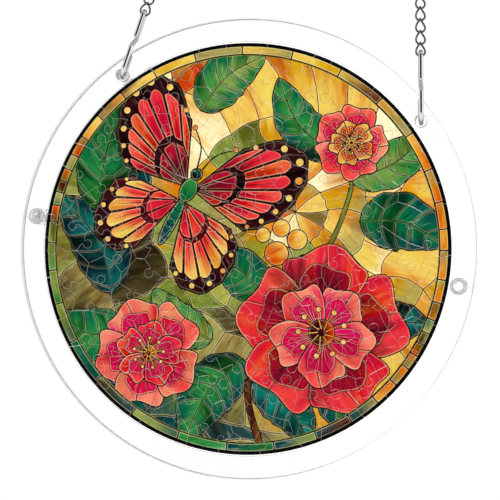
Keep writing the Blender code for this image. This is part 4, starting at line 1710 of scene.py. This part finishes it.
class SUNCATCHER_OT_chains(bpy.types.Operator):
    """Make the two runs of twisted chain"""

    bl_idname = "suncatcher.chains"
    bl_label = "Chains"

    def execute(self, context):
        sizes = context.scene.suncatcher_sizes
        tint = context.scene.suncatcher_colours.chain_steel
        finish = plated_steel("plated_chain", tint, CHAIN_ROUGHNESS)
        pitch = LINK_LENGTH - 2 * sizes.link_wire + LINK_BITE
        first = HOOK_TOP - 2 * sizes.hook_wire - CLEARANCE - sizes.link_wire + LINK_LENGTH / 2
        for side in SIDES:
            form = joined(*(link_form(first + pitch * i, sizes) for i in range(LINKS)))
            mesh = mesh_of("chain_" + side, *placed(form, Hanger(side, sizes).matrix), finish)
            add_piece("twisted_chain_" + side, mesh, "polished_steel", "chain_" + side)
        return {"FINISHED"}


END_RING_RADIUS = 5.0 * MM
END_RING_GAP = math.radians(2.5)
END_RING_GAP_AT = math.radians(200)
END_RING_SIDES = 18
END_RING_STEPS = 96


def end_ring_path(height):
    """A ring in the XZ plane, open at its split."""
    turn = math.tau - END_RING_GAP
    first = END_RING_GAP_AT + END_RING_GAP / 2
    angles = [first + turn * i / END_RING_STEPS for i in range(END_RING_STEPS + 1)]
    arc = [(END_RING_RADIUS * math.cos(a), END_RING_RADIUS * math.sin(a)) for a in angles]
    return [Vector((x, 0, height + up)) for x, up in arc]


class SUNCATCHER_OT_end_rings(bpy.types.Operator):
    """Make the ring at the top of each chain"""

    bl_idname = "suncatcher.end_rings"
    bl_label = "End rings"

    def execute(self, context):
        sizes = context.scene.suncatcher_sizes
        finish = bpy.data.materials["plated_wire"]
        for side in SIDES:
            hanger = Hanger(side, sizes)
            path = end_ring_path(hanger.ring_height)
            form = wire(path, sizes.ring_wire, END_RING_SIDES, side_hint=(0, 1, 0))
            mesh = mesh_of("end_ring_" + side, *placed(form, hanger.matrix), finish)
            add_piece("split_ring_" + side, mesh, "polished_steel", "end_ring_" + side)
        return {"FINISHED"}


# The studio --------------------------------------------------------------------


# Each lamp's name, its place from the disc's centre, its width and its watts.
LAMPS = (
    ("key_lamp", (-0.75, -0.85, 0.65), 0.55, 9.4),
    ("fill_lamp", (0.95, -0.75, 0.15), 0.6, 5.5),
)
BACKGROUND_LEVEL = 1.02
RIM_LEVEL = 0.78
DIFFUSE_LEVEL = 0.4
FLOOR_DROP = 0.5
FLOOR_RADIUS = 1.3
FLOOR_SIDES = 96
AIM_ASIDE = 2.1 * MM
AIM_BELOW = 0.24 * MM


class SUNCATCHER_OT_studio(bpy.types.Operator):
    """Set up the pale floor, the soft light and the camera"""

    bl_idname = "suncatcher.studio"
    bl_label = "Studio"

    def execute(self, context):
        studio = context.scene.suncatcher_studio
        add_floor()
        add_white_room(context.scene, studio.backdrop)
        for lamp in LAMPS:
            add_lamp(*lamp)
        add_camera(context.scene, studio)
        context.scene.view_settings.view_transform = "Standard"
        return {"FINISHED"}


def pale_floor():
    """Pale matt board, which glows a little to stay near white."""
    finish = Finish("pale_floor")
    patches = finish.noise(6, detail=4)
    lit = finish.shine(
        base_color=finish.mixed(patches, (0.86, 0.86, 0.86), (0.92, 0.92, 0.92)),
        roughness=0.8,
        emission_color=(1, 1, 1, 1),
        emission_strength=0.12,
    )
    return finish.ends_in(lit)


def add_floor():
    """A round floor well below the disc."""
    height = CAD_BOX[0].z - FLOOR_DROP
    corners = [(p.x, p.y, height) for p in circle(FLOOR_RADIUS, FLOOR_SIDES)]
    mesh = mesh_of("floor", corners, [tuple(range(FLOOR_SIDES))], pale_floor(), smooth=False)
    floor = bpy.data.objects.new("floor", mesh)
    bpy.context.scene.collection.objects.link(floor)


def add_white_room(scene, brightness):
    """White to look at and to look through, with a dark patch in front for the metal to mirror.

    Rays that turned once inside the clear discs and go on to the back see a light grey, which is
    what sets the rim off from the white."""
    world = bpy.data.worlds.new("white_room")
    scene.world = world
    room = Finish(world)
    path = room.add("LightPath").outputs
    way = room.add("SeparateXYZ", {0: room.add("TexCoord").outputs["Generated"]}).outputs
    mirrored = room.ranged(way["Y"], -0.82, -0.66, 0.01, 0.95, smooth=True)
    behind = room.ranged(way["Y"], 0.1, 0.8, 1.0, 0.6, smooth=True)
    over = room.ranged(room.maths("ABSOLUTE", way["Z"]), 0.3, 0.8, 1.0, 0.5, smooth=True)
    left = room.ranged(way["X"], -0.6, 0.0, 0.86, 1.0, smooth=True)
    for share in (behind, over, left):
        mirrored = room.times(mirrored, share)
    depth = room.maths("ABSOLUTE", way["Y"])
    through = room.ranged(depth, 0.3, 0.85, 1.05, brightness, smooth=True)
    turned_once = room.maths("COMPARE", path["Glossy Depth"], 1.0, 0.5)
    to_the_front = room.maths("LESS_THAN", way["Y"], 0.0)
    in_the_rim = room.either(to_the_front, RIM_LEVEL, mirrored)
    through = room.either(turned_once, through, in_the_rim)
    level = room.either(path["Is Diffuse Ray"], mirrored, DIFFUSE_LEVEL)
    level = room.either(path["Is Transmission Ray"], level, through)
    level = room.either(path["Is Camera Ray"], level, BACKGROUND_LEVEL)
    room.ends_in(room.add("Background", {"Color": (1, 1, 1, 1), "Strength": level}).outputs[0])


def add_lamp(name, from_centre, size, watts):
    """A round soft lamp that looks at the disc and isn't seen itself."""
    place = DISC_CENTRE + Vector(from_centre)
    data = bpy.data.lights.new(name, "AREA")
    data.shape = "DISK"
    data.size = size
    data.energy = watts
    lamp = bpy.data.objects.new(name, data)
    bpy.context.scene.collection.objects.link(lamp)
    lamp.location = place
    lamp.rotation_euler = (DISC_CENTRE - place).to_track_quat("-Z", "Y").to_euler()
    lamp.visible_camera = False
    lamp.visible_glossy = False
    lamp.visible_transmission = False


def add_camera(scene, studio):
    """The camera, rolled as far as the disc hangs turned."""
    data = bpy.data.cameras.new("camera")
    data.lens = studio.lens
    data.clip_start = 0.05
    data.clip_end = 50
    camera = bpy.data.objects.new("camera", data)
    scene.collection.objects.link(camera)
    around, up = studio.azimuth, studio.elevation
    back = Vector((math.sin(around) * math.cos(up), -math.cos(around) * math.cos(up), math.sin(up)))
    aim = DISC_CENTRE + Vector((AIM_ASIDE, 0, -AIM_BELOW))
    aim.y = 0
    camera.location = aim + back * studio.distance
    turn = (-back).to_track_quat("-Z", "Y") @ Quaternion((0, 0, 1), studio.roll)
    camera.rotation_euler = turn.to_euler()
    scene.camera = camera


# The add-on --------------------------------------------------------------------


OPERATORS = (
    SUNCATCHER_OT_clear_discs,
    SUNCATCHER_OT_spacer_ring,
    SUNCATCHER_OT_jigsaw,
    SUNCATCHER_OT_screws,
    SUNCATCHER_OT_nuts,
    SUNCATCHER_OT_hooks,
    SUNCATCHER_OT_chains,
    SUNCATCHER_OT_end_rings,
    SUNCATCHER_OT_studio,
)


class SUNCATCHER_PT_panel(bpy.types.Panel):
    """Lists the suncatcher's pieces and its studio"""

    bl_label = "Suncatcher"
    bl_idname = "SUNCATCHER_PT_panel"
    bl_space_type = "VIEW_3D"
    bl_region_type = "UI"
    bl_category = "Suncatcher"

    def draw(self, context):
        for operator in OPERATORS:
            self.layout.operator(operator.bl_idname)


CLASSES = (SuncatcherSizes, SuncatcherColours, SuncatcherStudio, *OPERATORS, SUNCATCHER_PT_panel)


def register():
    for each in CLASSES:
        bpy.utils.register_class(each)
    bpy.types.Scene.suncatcher_sizes = bpy.props.PointerProperty(type=SuncatcherSizes)
    bpy.types.Scene.suncatcher_colours = bpy.props.PointerProperty(type=SuncatcherColours)
    bpy.types.Scene.suncatcher_studio = bpy.props.PointerProperty(type=SuncatcherStudio)


def unregister():
    del bpy.types.Scene.suncatcher_studio
    del bpy.types.Scene.suncatcher_colours
    del bpy.types.Scene.suncatcher_sizes
    for each in reversed(CLASSES):
        bpy.utils.unregister_class(each)


def main():
    register()
    bpy.ops.suncatcher.clear_discs()
    bpy.ops.suncatcher.spacer_ring()
    bpy.ops.suncatcher.jigsaw()
    bpy.ops.suncatcher.screws()
    bpy.ops.suncatcher.nuts()
    bpy.ops.suncatcher.hooks()
    bpy.ops.suncatcher.chains()
    bpy.ops.suncatcher.end_rings()
    bpy.ops.suncatcher.studio()


if __name__ == "__main__":
    main()
